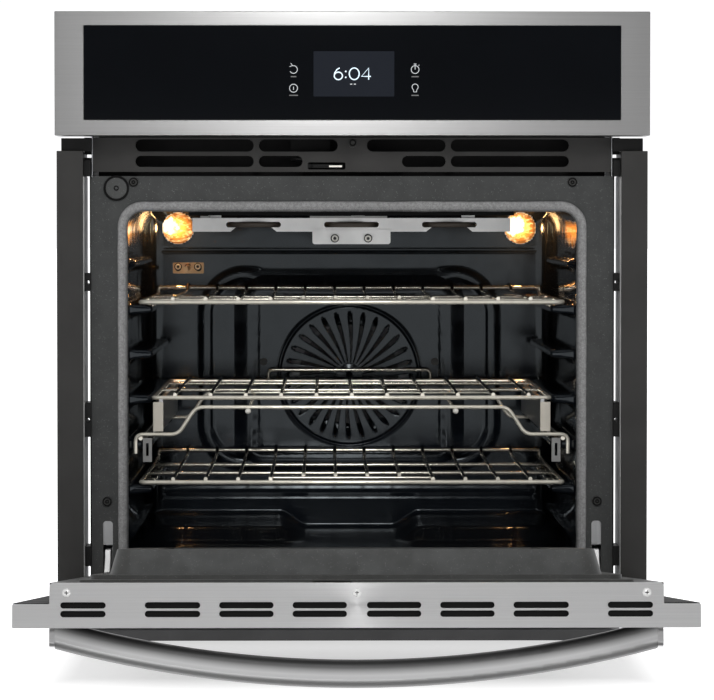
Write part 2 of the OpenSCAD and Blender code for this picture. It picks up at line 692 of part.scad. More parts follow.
module glide_base_frame() color("lightgray") {
  front = rack_front - 4;
  cross = runner_z + 4.6;
  bent_wire([[-256.6, front, 213], [-256.6, front, cross - 7], [-250, front, cross], [-206, front, cross],
    [-185, front, 268], [185, front, 268], [206, front, cross], [250, front, cross],
    [256.6, front, cross - 7], [256.6, front, 213]], 5);
  bent_wire([[-250, 90, cross], [-206, 90, cross], [-185, 90, 268], [185, 90, 268], [206, 90, cross],
    [250, 90, cross]], 5);
  both_sides() {
    wire([rack_x, front, runner_z], [rack_x, rib_back, runner_z], 5);
    wire([123, front - 6, 263.6], [123, 110, 263.6], 4.4);
    bead([123, front - 6, 263.6], 7);
    block([232.6, front + 2.2, cross + 2], [236, 150, 272]);
    difference() {
      block([237.5, front + 2.2, 203], [248, front + 3.7, runner_z]);
      block([241.2, front, 210], [244.4, front + 6, runner_z - 6]);
    }
  }
}

module glide_slides() color("silver") both_sides()
  block([229.2, rack_front, runner_z + 9], [232.2, 140, 271]);

module glide_shelf() color("lightgray") {
  top = shelf_z + 3.4;
  back = rack_front + 398;
  for (y = [rack_front, rack_front + 172, rack_front + 330, back])
    wire([-235, y, shelf_z], [235, y, shelf_z], y == rack_front ? frame_wire : 5);
  both_sides() {
    wire([235, rack_front, shelf_z], [235, back, shelf_z], 5);
    for (y = [rack_front, back]) bead([235, y, shelf_z], frame_wire + 0.4);
    block([224, rack_front - 4, runner_z + 10], [228.8, 130, shelf_z - 1.4]);
    block([223.6, rack_front - 5.5, runner_z + 8], [235.8, rack_front - 4, shelf_z - 5]);
  }
  for (i = [-5 : 5]) {
    wire([i * shelf_pitch, rack_front - 1, top], [i * shelf_pitch, back + 1, top], grid_wire);
    bead([i * shelf_pitch, rack_front - 1, top], grid_wire + 0.8);
  }
  hoop = 293.5;
  bent_wire([[-106.5, back, shelf_z], [-106.5, back, hoop - 8], [-98, back, hoop], [98, back, hoop],
    [106.5, back, hoop - 8], [106.5, back, shelf_z]], 4.4);
}

base_pan();
left_side_panel();
right_side_panel();
top_cover();
rear_panel();
front_frame();
liner_left_wall();
liner_right_wall();
liner_roof();
liner_floor();
liner_back_wall();
insulation_blanket();
door_gasket();
vent_plate();
control_trim();
control_glass();
display_module();
control_board();
control_tray();
side_trims();
bottom_trim();
trim_brackets();
frame_screws();
frame_plug();
hinge_receivers();
hinge_arms();
broil_element();
broil_bracket();
bracket_plate();
bake_element();
convection_element();
fan_cover();
cavity_screws();
fan_motor();
convection_fan();
blower_housing();
blower_motor();
blower_wheel();
lamp_housings();
lamp_bulbs();
lamp_lenses();
temperature_sensor();
latch_motor();
latch_hook();
power_inlet();
door_skin();
door_outer_glass();
door_inner_glass();
door_insulation();
door_liner();
door_end_plate();
door_end_screws();
door_hinges();
handle_bar();
handle_mounts();
upper_rack();
lower_rack();
glide_base_frame();
glide_slides();
glide_shelf();
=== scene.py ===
"""A built-in wall oven with its door open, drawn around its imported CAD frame.

The frame is in metres, +Z up, the front towards -Y. Shapes are drawn in millimetres.
"""

import json
from math import copysign, cos, hypot, pi, radians, sin, sqrt

import bpy
from mathutils import Matrix, Vector, noise


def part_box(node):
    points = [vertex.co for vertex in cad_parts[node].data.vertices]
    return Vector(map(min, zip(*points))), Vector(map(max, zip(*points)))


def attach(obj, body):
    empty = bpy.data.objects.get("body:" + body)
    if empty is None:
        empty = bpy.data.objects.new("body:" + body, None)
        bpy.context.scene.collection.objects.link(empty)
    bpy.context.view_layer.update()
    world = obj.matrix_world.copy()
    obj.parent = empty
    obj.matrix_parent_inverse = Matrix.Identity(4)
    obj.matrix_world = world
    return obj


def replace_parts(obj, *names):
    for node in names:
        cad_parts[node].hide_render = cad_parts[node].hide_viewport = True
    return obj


MM = 0.001

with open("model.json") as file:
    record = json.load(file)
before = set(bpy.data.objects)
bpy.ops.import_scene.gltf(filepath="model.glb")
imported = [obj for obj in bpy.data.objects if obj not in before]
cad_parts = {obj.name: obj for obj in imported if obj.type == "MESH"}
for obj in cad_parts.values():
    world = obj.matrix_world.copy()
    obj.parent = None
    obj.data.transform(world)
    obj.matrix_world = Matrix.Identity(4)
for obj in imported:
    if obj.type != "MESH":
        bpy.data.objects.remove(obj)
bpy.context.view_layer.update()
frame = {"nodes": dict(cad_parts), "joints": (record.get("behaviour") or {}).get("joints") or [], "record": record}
nodes = frame["nodes"]
scene = bpy.context.scene


# ---------------------------------------------------------------- camera, floor, light
def add_object(name, data):
    obj = bpy.data.objects.new(name, data)
    scene.collection.objects.link(obj)
    return obj


LENS_MM = 157.41
EYE = (-0.031, -3.937, 0.484)
PITCH_DOWN = 1.5
YAW_RIGHT = 0.574
SHIFT_Y = -0.0605

cam_data = bpy.data.cameras.new("camera")
cam_data.sensor_width = 36.0
cam_data.lens = LENS_MM
cam_data.shift_y = SHIFT_Y
cam_data.clip_end = 200.0
camera = add_object("camera", cam_data)
camera.location = EYE
camera.rotation_euler = (radians(90 - PITCH_DOWN), 0, radians(-YAW_RIGHT))
scene.camera = camera
scene.view_settings.view_transform = "Standard"


def area_light(name, location, aim, size, power, mirrored=False):
    data = bpy.data.lights.new(name, "AREA")
    data.shape = "RECTANGLE"
    data.size, data.size_y = size
    data.energy = power
    lamp = add_object(name, data)
    lamp.location = location
    lamp.rotation_euler = (Vector(aim) - Vector(location)).to_track_quat("-Z", "Y").to_euler()
    lamp.visible_glossy = mirrored
    return lamp


area_light("key_softbox", (0, -3.7, 2.35), (0, -0.4, 0.3), (1.1, 0.8), 60)
panel_strip = area_light("panel_strip", (-0.03, -4.5, 1.95), (0, -0.3, 0.65), (0.36, 1.7), 19, True)
area_light("overhead_softbox", (0, -0.4, 3.2), (0, -0.4, 0.0), (3.0, 2.4), 30)

world = bpy.data.worlds.new("studio")
scene.world = world
world.use_nodes = True
wt = world.node_tree
wt.nodes.clear()
sky_split = wt.nodes.new("ShaderNodeSeparateXYZ")
wt.links.new(wt.nodes.new("ShaderNodeTexCoord").outputs["Generated"], sky_split.inputs[0])


def sky_blend(axis, low, high, below, above):
    """Goes from one colour to another between two values of the view direction's X, Y or Z."""
    span = wt.nodes.new("ShaderNodeMapRange")
    span.interpolation_type = "SMOOTHSTEP"
    span.inputs["From Min"].default_value = low
    span.inputs["From Max"].default_value = high
    wt.links.new(sky_split.outputs[axis], span.inputs["Value"])
    blend = wt.nodes.new("ShaderNodeMix")
    blend.data_type = "RGBA"
    for socket, value in (("A", below), ("B", above)):
        if isinstance(value, float):
            blend.inputs[socket].default_value = (value, value, value * 1.01, 1)
        else:
            wt.links.new(value, blend.inputs[socket])
    wt.links.new(span.outputs["Result"], blend.inputs["Factor"])
    return blend.outputs["Result"]


front_low = sky_blend("Z", -0.42, -0.26, 0.12, 0.85)
front_band = sky_blend("Z", 0.015, 0.035, front_low, 0.02)
front_sky = sky_blend("Z", 0.14, 0.36, front_band, 0.38)
sky = wt.nodes.new("ShaderNodeBackground")
sky_out = wt.nodes.new("ShaderNodeOutputWorld")
wt.links.new(sky_blend("Y", -0.2, 0.3, front_sky, 1.06), sky.inputs["Color"])
wt.links.new(sky.outputs[0], sky_out.inputs[0])


# ---------------------------------------------------------------- materials
class Shader:
    """One Principled material whose colour, roughness and bump come from object-space noise."""

    def __init__(self, name, color, rough, metal=0.0, spec=0.5):
        self.mat = bpy.data.materials.new(name)
        self.mat.use_nodes = True
        self.tree = self.mat.node_tree
        self.bsdf = self.tree.nodes["Principled BSDF"]
        self.coord = self.node("TexCoord")
        self.color = color
        self.rough = rough
        self.put("Base Color", (*color, 1))
        self.put("Roughness", rough)
        self.put("Metallic", metal)
        self.put("Specular IOR Level", spec)
        self.normal = None

    def put(self, socket, value):
        self.bsdf.inputs[socket].default_value = value

    def node(self, kind):
        return self.tree.nodes.new("ShaderNode" + kind)

    def link(self, a, b):
        self.tree.links.new(a, b)

    def feed(self, socket, value):
        self.link(value, self.bsdf.inputs[socket])

    def noise(self, scale, stretch=(1, 1, 1), detail=3.0, kind="noise"):
        mapping = self.node("Mapping")
        mapping.inputs["Scale"].default_value = stretch
        self.link(self.coord.outputs["Object"], mapping.inputs["Vector"])
        if kind in ("voronoi", "cells"):
            tex = self.node("TexVoronoi")
            out = tex.outputs["Distance" if kind == "voronoi" else "Color"]
        else:
            tex = self.node("TexNoise")
            tex.inputs["Detail"].default_value = detail
            out = tex.outputs["Fac"]
        tex.inputs["Scale"].default_value = scale
        self.link(mapping.outputs["Vector"], tex.inputs["Vector"])
        return out

    def ramp(self, value, low, high, out_low=0.0, out_high=1.0):
        node = self.node("MapRange")
        node.inputs["From Min"].default_value = low
        node.inputs["From Max"].default_value = high
        node.inputs["To Min"].default_value = out_low
        node.inputs["To Max"].default_value = out_high
        self.link(value, node.inputs["Value"])
        return node.outputs["Result"]

    def combine(self, operation, *values):
        """One step of arithmetic on linked values."""
        node = self.node("Math")
        node.operation = operation
        for value, socket in zip(values, node.inputs):
            self.link(value, socket)
        return node.outputs[0]

    def tone(self, value, stops):
        """Colours a value through stops of (place, colour)."""
        node = self.node("ValToRGB")
        elements = node.color_ramp.elements
        while len(elements) < len(stops):
            elements.new(0.5)
        for element, (at, color) in zip(elements, stops):
            element.position = at
            element.color = (*color, 1)
        self.link(value, node.inputs["Fac"])
        return node.outputs["Color"]

    def mix_color(self, factor, other):
        """Blends the colour so far towards another where the factor is 1."""
        node = self.node("Mix")
        node.data_type = "RGBA"
        base = self.bsdf.inputs["Base Color"]
        if base.is_linked:
            self.link(base.links[0].from_socket, node.inputs["A"])
        else:
            node.inputs["A"].default_value = base.default_value
        node.inputs["B"].default_value = (*other, 1)
        self.link(factor, node.inputs["Factor"])
        self.link(node.outputs["Result"], base)
        return self

    def vary(self, scale, amount, stretch=(1, 1, 1)):
        """Mottles the colour and the roughness a little."""
        tex = self.noise(scale, stretch)
        darker = tuple(c * (1 - amount) for c in self.color)
        self.mix_color(self.ramp(tex, 0.35, 0.65), darker)
        self.feed("Roughness", self.ramp(tex, 0.3, 0.7, self.rough * (1 - amount), self.rough * (1 + amount)))
        return self

    def bump(self, scale, distance, stretch=(1, 1, 1), detail=2.0, kind="noise"):
        node = self.node("Bump")
        node.inputs["Strength"].default_value = 1.0
        node.inputs["Distance"].default_value = distance
        self.link(self.noise(scale, stretch, detail, kind), node.inputs["Height"])
        if self.normal:
            self.link(self.normal, node.inputs["Normal"])
        self.normal = node.outputs["Normal"]
        self.feed("Normal", self.normal)
        return self


def brushed(name, color, rough, grain, spread=0.0):
    """Brushed steel: grain is the stretch of the brush marks, spread the anisotropy across them."""
    sh = Shader(name, color, rough, metal=1.0)
    sh.vary(1.0, 0.05, grain)
    sh.bump(1.0, 0.00001, grain, detail=4)
    if spread:
        tangent = sh.node("Tangent")
        tangent.direction_type = "RADIAL"
        tangent.axis = "Z"
        sh.feed("Tangent", tangent.outputs[0])
        sh.put("Anisotropic", spread)
        sh.put("Anisotropic Rotation", 0.25)
    return sh.mat


def enamel(name, color, rough, speckle=None, wave=0.0006, spec=0.3):
    sh = Shader(name, color, rough, spec=spec)
    sh.put("Specular Tint", (0.86, 0.95, 1.0, 1))
    sh.vary(60, 0.15)
    if speckle:
        dots = sh.ramp(sh.noise(700, kind="voronoi"), 0.22, 0.12)
        patches = sh.ramp(sh.noise(260, detail=1), 0.5, 0.62)
        sh.mix_color(sh.combine("MULTIPLY", dots, patches), speckle)
        sh.bump(900, 0.00003)
    sh.bump(9, wave)
    return sh.mat


def plain(name, color, rough, metal=0.0, grain=400, depth=0.00005, spec=0.5):
    sh = Shader(name, color, rough, metal, spec)
    sh.vary(25, 0.12)
    sh.bump(grain, depth)
    return sh.mat


def glow(name, color, strength):
    sh = Shader(name, tuple(0.4 * c for c in color), 0.4, spec=0.03)
    sh.vary(200, 0.08)
    sh.put("Emission Color", (*color, 1))
    sh.put("Emission Strength", strength)
    return sh.mat


def galvanised(name):
    sh = Shader(name, (0.53, 0.54, 0.55), 0.38, metal=1.0)
    sh.mix_color(sh.ramp(sh.noise(95, kind="cells"), 0.2, 0.8), (0.44, 0.45, 0.47))
    sh.feed("Roughness", sh.ramp(sh.noise(95, kind="cells"), 0.1, 0.9, 0.32, 0.46))
    sh.bump(12, 0.0002)
    return sh.mat


def wire_plating(name, color, metal=1.0):
    sh = Shader(name, color, 0.12, metal=metal)
    sh.vary(90, 0.15)
    sh.bump(300, 0.00001)
    return sh.mat


def weave(name, shade):
    sh = Shader(name, (shade,) * 3, 0.85, spec=0.1)
    sh.put("Sheen Weight", 0.15)
    sh.mix_color(sh.ramp(sh.noise(900, kind="voronoi"), 0.1, 0.6), (shade * 1.7,) * 3)
    sh.mix_color(sh.ramp(sh.noise(330, detail=4), 0.4, 0.65, 0, 0.4), (shade * 0.6,) * 3)
    sh.bump(800, 0.0006, kind="voronoi")
    return sh.mat


def tinted_glass(name, color, alpha):
    sh = Shader(name, color, 0.03)
    sh.vary(3, 0.05)
    sh.bump(4, 0.0001)
    sh.put("Alpha", alpha)
    return sh.mat


LOOKS = {
    "chassis_steel": galvanised("galvanised"),
    "stainless": brushed("stainless", (0.5, 0.498, 0.495), 0.3, (6, 900, 900), 0.8),
    "frame_enamel": enamel("speckled_enamel", (0.044, 0.044, 0.0425), 0.42, (0.24, 0.24, 0.235), 0.0001),
    "cavity_enamel": enamel("cavity_enamel", (0.008, 0.0105, 0.015), 0.12, None, 0.0008, 0.6),
    "dark_paint": plain("dark_paint", (0.024, 0.0232, 0.022), 0.45, spec=0.4),
    "black_glass": plain("black_glass", (0.0035, 0.004, 0.005), 0.06, grain=3, spec=0.18),
    "window_glass": tinted_glass("window_glass", (0.006, 0.007, 0.008), 1.0),
    "lens_glass": tinted_glass("lens_glass", (0.9, 0.85, 0.7), 0.35),
    "rack_wire": wire_plating("rack_wire", (0.86, 0.81, 0.7), 0.85),
    "element_sheath": plain("element_sheath", (0.075, 0.062, 0.05), 0.5, grain=500),
    "bright_steel": brushed("bright_steel", (0.66, 0.665, 0.67), 0.34, (300, 300, 12)),
    "sensor_brass": plain("sensor_brass", (0.72, 0.46, 0.25), 0.3, metal=1.0),
    "gasket_weave": weave("gasket_weave", 0.135),
    "insulation": plain("insulation", (0.6, 0.55, 0.38), 0.9, grain=250, depth=0.001),
    "electronics": plain("electronics", (0.02, 0.05, 0.03), 0.5),
    "motor_body": plain("motor_body", (0.22, 0.22, 0.23), 0.45, metal=0.6),
    "bulb_glass": glow("bulb_glass", (1.0, 0.78, 0.45), 9.0),
}
SLOT_OF = {row["node"]: row["material_slot"] for row in frame["record"]["subparts"]}
DARK_SCREW = plain("dark_screw", (0.05, 0.05, 0.048), 0.4, metal=0.7)
DULL_ZINC = plain("dull_zinc", (0.93, 0.93, 0.92), 0.45, metal=0.35)
DOOR_STEEL = brushed("door_steel", (0.88, 0.878, 0.875), 0.36, (6, 900, 900), 0.4)
RETURN_STEEL = plain("return_steel", (0.55, 0.55, 0.545), 0.5, metal=0.2)
# Near-black sheet that is painted shade: behind openings, in gaps and recesses, and on parts seen only through
# slots.
PAINTED_SHADE_SHEET = plain("painted_shade_sheet", (0.006, 0.006, 0.006), 0.6, spec=0.15)
# Black: paint on the trim brackets, and painted shade on the latch hook in its opening.
BLACK_PAINT_AND_SHADE = plain("black_paint_and_shade", (0.008, 0.008, 0.008), 0.5, spec=0.25)
STEP_ENAMEL = enamel("step_enamel", (0.006, 0.007, 0.009), 0.13, None, 0.0002, 1.0)
WALL_ENAMEL = enamel("wall_enamel", (0.006, 0.0075, 0.01), 0.07, None, 0.0011, 0.6)
FLOOR_ENAMEL = enamel("floor_enamel", (0.006, 0.007, 0.009), 0.16, None, 0.0008, 0.12)
HANGER_STEEL = plain("hanger_steel", (0.36, 0.36, 0.35), 0.4, metal=0.7)
# Near-white nickel that is a painted highlight: on ball tips, fastener rims and the latch glint.
PAINTED_GLINT_NICKEL = plain("painted_glint_nickel", (0.95, 0.93, 0.86), 0.25, metal=0.35)
# Lit and shaded copies of the rack wire: a brighter one as a painted highlight on the front bars, loops, glide
# base and cut ends, and a darker one as painted shade on the running wires.
PAINTED_HIGHLIGHT_NICKEL = wire_plating("painted_highlight_nickel", (1.0, 0.95, 0.82), 0.6)
PAINTED_SHADE_NICKEL = wire_plating("painted_shade_nickel", (0.42, 0.38, 0.32))
DARK_COPPER = plain("dark_copper", (0.16, 0.07, 0.035), 0.35, metal=0.8)

# The door is packed open. OPEN carries what is drawn on the shut door to there.
door_joint = next(j for j in frame["joints"] if j["name"] == "door_hinge")
pivot = Vector(door_joint["pos_m"])
door_angle = radians(door_joint["range_deg"][1])
OPEN = Matrix.Translation(pivot) @ Matrix.Rotation(door_angle, 4, "X") @ Matrix.Translation(-pivot)
DOOR_OUT = -349.0
HANDLE_Z = 536.0
HANDLE_R, HANDLE_REACH, HANDLE_THICK = 1187.7, 61.5, 28.4


def handle_steel_painted_shade(name):
    """Satin steel with painted shade and a painted highlight: darkened on the side towards the door, brightest
    along the middle of the bowed bar.
    """
    sh = Shader(name, (0.7, 0.7, 0.695), 0.3, metal=0.68)
    place = sh.node("Mapping")
    place.vector_type = "TEXTURE"
    centre = Vector((0, (DOOR_OUT - HANDLE_REACH + HANDLE_R) * MM, HANDLE_Z * MM))
    place.inputs["Location"].default_value = OPEN @ centre
    place.inputs["Rotation"].default_value = (door_angle, 0, 0)
    place.inputs["Scale"].default_value = (1, 1, 1000)
    sh.link(sh.coord.outputs["Object"], place.inputs["Vector"])
    radius = sh.node("VectorMath")
    radius.operation = "LENGTH"
    sh.link(place.outputs["Vector"], radius.inputs[0])
    across = sh.ramp(radius.outputs["Value"], (HANDLE_R - HANDLE_THICK) * MM, HANDLE_R * MM)
    # Painted shading across the bar's face: dark on the side towards the door, a painted highlight along the
    # middle, grey on the far side.
    painted_shades = ((0.0, 0.05), (0.13, 0.08), (0.27, 0.2), (0.42, 0.55), (0.55, 0.8), (0.68, 0.72), (0.82, 0.3),
              (1.0, 0.26))
    sh.feed("Base Color", sh.tone(across, [(at, (shade,) * 3) for at, shade in painted_shades]))
    sh.bump(1.0, 0.000008, (2, 200, 200), detail=4)
    return sh.mat


PALE_SPECKLE = (0.22, 0.22, 0.215)
OWN_LOOK = {
    "frame_screws": DARK_SCREW,
    "cavity_screws": DARK_SCREW,
    "frame_plug": enamel("plug_enamel", (0.058, 0.058, 0.056), 0.42, PALE_SPECKLE, 0.0001),
    "broil_bracket": DULL_ZINC,
    "bracket_plate": DULL_ZINC,
    # The control tray and the latch motor, seen through the vent slots, get the near-black sheet as painted shade.
    "control_tray": PAINTED_SHADE_SHEET,
    "latch_motor": PAINTED_SHADE_SHEET,
    "trim_brackets": BLACK_PAINT_AND_SHADE,
    "hinge_arms": plain("arm_zinc", (0.93, 0.93, 0.92), 0.4, metal=0.2),
    # The latch hook is black as painted shade in its opening.
    "latch_hook": BLACK_PAINT_AND_SHADE,
    "bottom_trim": plain("trim_grey", (0.11, 0.11, 0.112), 0.5, spec=0.3),
    "handle_bar": handle_steel_painted_shade("handle_steel_painted_shade"),
    "handle_mounts": DOOR_STEEL,
    "door_liner": enamel("liner_enamel", (0.06, 0.0595, 0.057), 0.42, PALE_SPECKLE, 0.0001),
    "door_skin": DOOR_STEEL,
    "convection_fan": plain("fan_steel", (0.2, 0.2, 0.2), 0.5, metal=0.3),
}


def finish_cad(name, bevel):
    """Gives a CAD node its material and eases its edges."""
    obj = nodes[name]
    obj.data.materials.clear()
    obj.data.materials.append(OWN_LOOK.get(name) or LOOKS[SLOT_OF[name]])
    if bevel:
        weld = obj.modifiers.new("weld", "WELD")
        weld.merge_threshold = 0.00002
        edge = obj.modifiers.new("bevel", "BEVEL")
        edge.width = bevel * MM
        edge.segments = 2
        edge.limit_method = "ANGLE"
        edge.angle_limit = radians(40)
        shade = obj.modifiers.new("flat faces", "WEIGHTED_NORMAL")
        shade.weight = 100


BEVELS = {
    "control_trim": 0.9, "door_skin": 0.9, "door_end_plate": 0.5, "front_frame": 0.5, "vent_plate": 0.4,
    "side_trims": 0.6, "bottom_trim": 0.6, "trim_brackets": 0.6, "broil_bracket": 0.4, "bracket_plate": 0.4,
    "hinge_arms": 0.6, "control_glass": 0.3, "handle_mounts": 0.8, "top_cover": 0.4, "left_side_panel": 0.4,
    "right_side_panel": 0.4, "rear_panel": 0.4, "base_pan": 0.4, "door_liner": 2.6, "temperature_sensor": 0.2,
}
for node_name in nodes:
    finish_cad(node_name, BEVELS.get(node_name, 0))

# The bowed handle turns the strip of light into a hard line, so the strip leaves it out.
handle_shade = bpy.data.collections.new("handle_shade")
for node_name in ("handle_bar", "handle_mounts"):
    handle_shade.objects.link(nodes[node_name])
panel_strip.light_linking.receiver_collection = handle_shade
for member in handle_shade.collection_objects:
    member.light_linking.link_state = "EXCLUDE"


# ---------------------------------------------------------------- mesh helpers
def join_body(obj, body, replaces=(), matrix=None):
    """Hands a finished piece to its body; matrix places a piece that was drawn in a closed-door frame."""
    if matrix is not None:
        obj.matrix_world = matrix
    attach(obj, body)
    if replaces:
        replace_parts(obj, *replaces)
    return obj


def mesh_piece(name, verts, faces, body, slot, replaces=(), look=None, smooth=True, matrix=None):
    mesh = bpy.data.meshes.new(name)
    mesh.from_pydata([tuple(c * MM for c in v) for v in verts], [], faces)
    mesh.update()
    mesh.materials.append(look or LOOKS[slot])
    if smooth:
        mesh.shade_smooth()
    return join_body(add_object(name, mesh), body, replaces, matrix)


def fillet(points, r):
    """Rounds the inner corners of a polyline."""
    out = [Vector(points[0])]
    for a, b, c in zip(points, points[1:], points[2:]):
        a, b, c = Vector(a), Vector(b), Vector(c)
        reach = min(r, (a - b).length * 0.45, (c - b).length * 0.45)
        p, q = b + (a - b).normalized() * reach, b + (c - b).normalized() * reach
        out += [p * (1 - t) ** 2 + b * 2 * t * (1 - t) + q * t ** 2 for t in (0, 0.2, 0.4, 0.6, 0.8, 1)]
    return out + [Vector(points[-1])]


def new_curve(name, dimensions, bevel, resolution, look):
    curve = bpy.data.curves.new(name, "CURVE")
    curve.dimensions = dimensions
    curve.bevel_depth = bevel * MM
    curve.bevel_resolution = resolution
    curve.use_fill_caps = dimensions == "3D"
    curve.materials.append(look)
    return curve


def add_run(curve, points, radius=1.0, closed=False):
    spline = curve.splines.new("POLY")
    spline.points.add(len(points) - 1)
    for target, p in zip(spline.points, points):
        target.co = (*(c * MM for c in p), 1)
        target.radius = radius
    spline.use_cyclic_u = closed


def tubes(name, runs, body, slot, look=None, replaces=()):
    """Round wires: each run is (points, diameter)."""
    curve = new_curve(name, "3D", 1.0, 5, look or LOOKS[slot])
    for points, diameter in runs:
        add_run(curve, points, diameter / 2)
    return join_body(add_object(name, curve), body, replaces)


def circle(x, y, z, r, count):
    """Points round a circle that faces the front."""
    return [(x + r * cos(2 * pi * i / count), y, z + r * sin(2 * pi * i / count))
            for i in range(count)]


def shifted(faces, base):
    return [tuple(base + i for i in face) for face in faces]


def beads(name, spots, body, slot, look=None):
    """Small balls: each spot is (centre, diameter)."""
    verts, faces = [], []
    rings, ring = 9, 14
    for (cx, cy, cz), diameter in spots:
        base = len(verts)
        for r in range(rings):
            a = pi * (0.02 + 0.96 * r / (rings - 1)) - pi / 2
            verts += circle(cx, cy + diameter / 2 * sin(a), cz, diameter / 2 * cos(a), ring)
        faces += shifted(grid_faces(rings, ring, wrap=True), base)
    return mesh_piece(name, verts, faces, body, slot, (), look)


def wire_ends(name, spots, body, slot, look=None):
    """Flat cut ends of wires, facing the front: each spot is (centre, diameter)."""
    verts, faces = [], []
    ring = 16
    for (cx, cy, cz), diameter in spots:
        base = len(verts)
        for y, r in ((cy + 1.2, diameter / 2), (cy + 0.3, diameter / 2), (cy, diameter / 2 - 0.25)):
            verts += circle(cx, y, cz, r, ring)
        faces += shifted(grid_faces(3, ring, wrap=True), base)
        faces.append(tuple(base + 2 * ring + i for i in range(ring)))
    return mesh_piece(name, verts, faces, body, slot, (), look, smooth=False)


def plate_2d(name, outline, holes, thick, body, look, replaces=(), matrix=None, edge=0.25):
    """A flat plate from an outline with holes, drawn in its own X-Y plane and half its thickness each way."""
    curve = new_curve(name, "2D", edge, 2, look)
    curve.fill_mode = "BOTH"
    curve.extrude = (thick / 2 - edge) * MM
    curve.offset = -edge * MM
    for loop in [outline] + holes:
        add_run(curve, [(x, y, 0) for x, y in loop], closed=True)
    return join_body(add_object(name, curve), body, replaces, matrix)


def arc(cx, cy, r, start, end, n=20, ry=None):
    """Points along an arc between two angles in degrees, both ends included."""
    angles = [radians(start + (end - start) * i / n) for i in range(n + 1)]
    return [(cx + r * cos(a), cy + (ry or r) * sin(a)) for a in angles]


def round_corner(cx, cy, r, start):
    return arc(cx, cy, r, start, start + 90, 8)


def slot_loop(x0, x1, y, width):
    r = width / 2
    return arc(x1 - r, y, r, -90, 90, 12) + arc(x0 + r, y, r, 90, 270, 12)


BOX_FACES = ((0, 1, 3, 2), (4, 6, 7, 5), (0, 4, 5, 1), (2, 3, 7, 6), (0, 2, 6, 4), (1, 5, 7, 3))


def box_piece(name, boxes, body, slot, look=None, matrix=None, edge=0.3):
    """Small blocks in one piece: each box is (low corner, high corner)."""
    verts, faces = [], []
    for low, high in boxes:
        faces += shifted(BOX_FACES, len(verts))
        verts += [(x, y, z) for x in (low[0], high[0]) for y in (low[1], high[1]) for z in (low[2], high[2])]
    obj = mesh_piece(name, verts, faces, body, slot, (), look, smooth=False, matrix=matrix)
    if edge:
        mod = obj.modifiers.new("edge", "BEVEL")
        mod.width = edge * MM
        mod.segments = 2
    return obj


def both_sides(x0, x1, y0, y1, z0, z1):
    """A box on the left and its mirror image on the right."""
    return [((-x1, y0, z0), (-x0, y1, z1)), ((x0, y0, z0), (x1, y1, z1))]


def grid_faces(rows, cols, skip=None, wrap=False):
    """Quads of a grid of rows x cols points; skip(r, c) leaves a hole."""
    faces = []
    for r in range(rows - 1):
        for c in range(cols if wrap else cols - 1):
            if skip and skip(r, c):
                continue
            d = (c + 1) % cols
            faces.append((r * cols + c, r * cols + d, (r + 1) * cols + d, (r + 1) * cols + c))
    return faces


def smoothstep(low, high, v):
    t = min(1.0, max(0.0, (v - low) / (high - low)))
    return t * t * (3 - 2 * t)


def box_mm(node):
    low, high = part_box(node)
    return low / MM, high / MM


def rounded_box_distance(x, z, half_x, half_z, r):
    """Signed distance from a rounded rectangle's outline, negative inside."""
    qx, qz = abs(x) - half_x + r, abs(z) - half_z + r
    return hypot(max(qx, 0), max(qz, 0)) + min(max(qx, qz), 0) - r


def solid(obj, thickness, offset=1.0):
    mod = obj.modifiers.new("thickness", "SOLIDIFY")
    mod.thickness = thickness * MM
    mod.offset = offset
    return obj


# ---------------------------------------------------------------- cavity liner
wall_low, wall_high = box_mm("liner_right_wall")
SHEET = 1.5
rib_nose, wall_x = wall_low.x, wall_high.x - SHEET
roof_z, floor_z = wall_high.z, wall_low.z + SHEET
front_y, back_y = wall_low.y, wall_high.y - SHEET
rack_low, rack_high = box_mm("lower_rack")
upper_low = box_mm("upper_rack")[0]
RIB_GAP = 0.3
RIB_PITCH = (upper_low.z - rack_low.z) / 4
SHALLOW_RIBS, SHALLOW = (-1, 5), 0.28
COVE = 28.0
rib_front = rack_low.y + 10
rib_back = back_y - 43


def wall_profile():
    """The side wall from floor to roof: (depth out of the wall, height) with a ridge for each rack level."""
    pts = [(10, floor_z + 0.2), (4, floor_z + 2.5), (1, floor_z + 7), (0, floor_z + 12)]
    for k in range(-1, 6):
        top = rack_low.z - RIB_GAP + RIB_PITCH * k
        nose = (wall_x - rib_nose) * (SHALLOW if k in SHALLOW_RIBS else 1.0)
        under = [(0, 19), (1.2, 15), (nose * 0.2, 12.2), (nose * 0.6, 10.3), (nose - 2.2, 9)]
        edge = [(nose - 0.6, 7.4), (nose - 0.05, 5), (nose - 0.4, 2.2), (nose - 1.6, 0.7), (nose - 4, 0.15)]
        over = [(nose * 0.5, 0.1), (nose * 0.15, -0.3), (1, -2.2), (0, -6)]
        pts += [(depth, top - drop) for depth, drop in under + edge + over]
    return pts + arc(COVE, roof_z - COVE, COVE, 180, 90, 10)


def liner_piece(name, verts, faces, replaces=(), look=None):
    return mesh_piece(name, verts, faces, "chassis", "cavity_enamel", replaces, look)


def spread(low, high, steps):
    """Evenly spaced values from low to high, both included."""
    return [low + (high - low) * i / steps for i in range(steps + 1)]


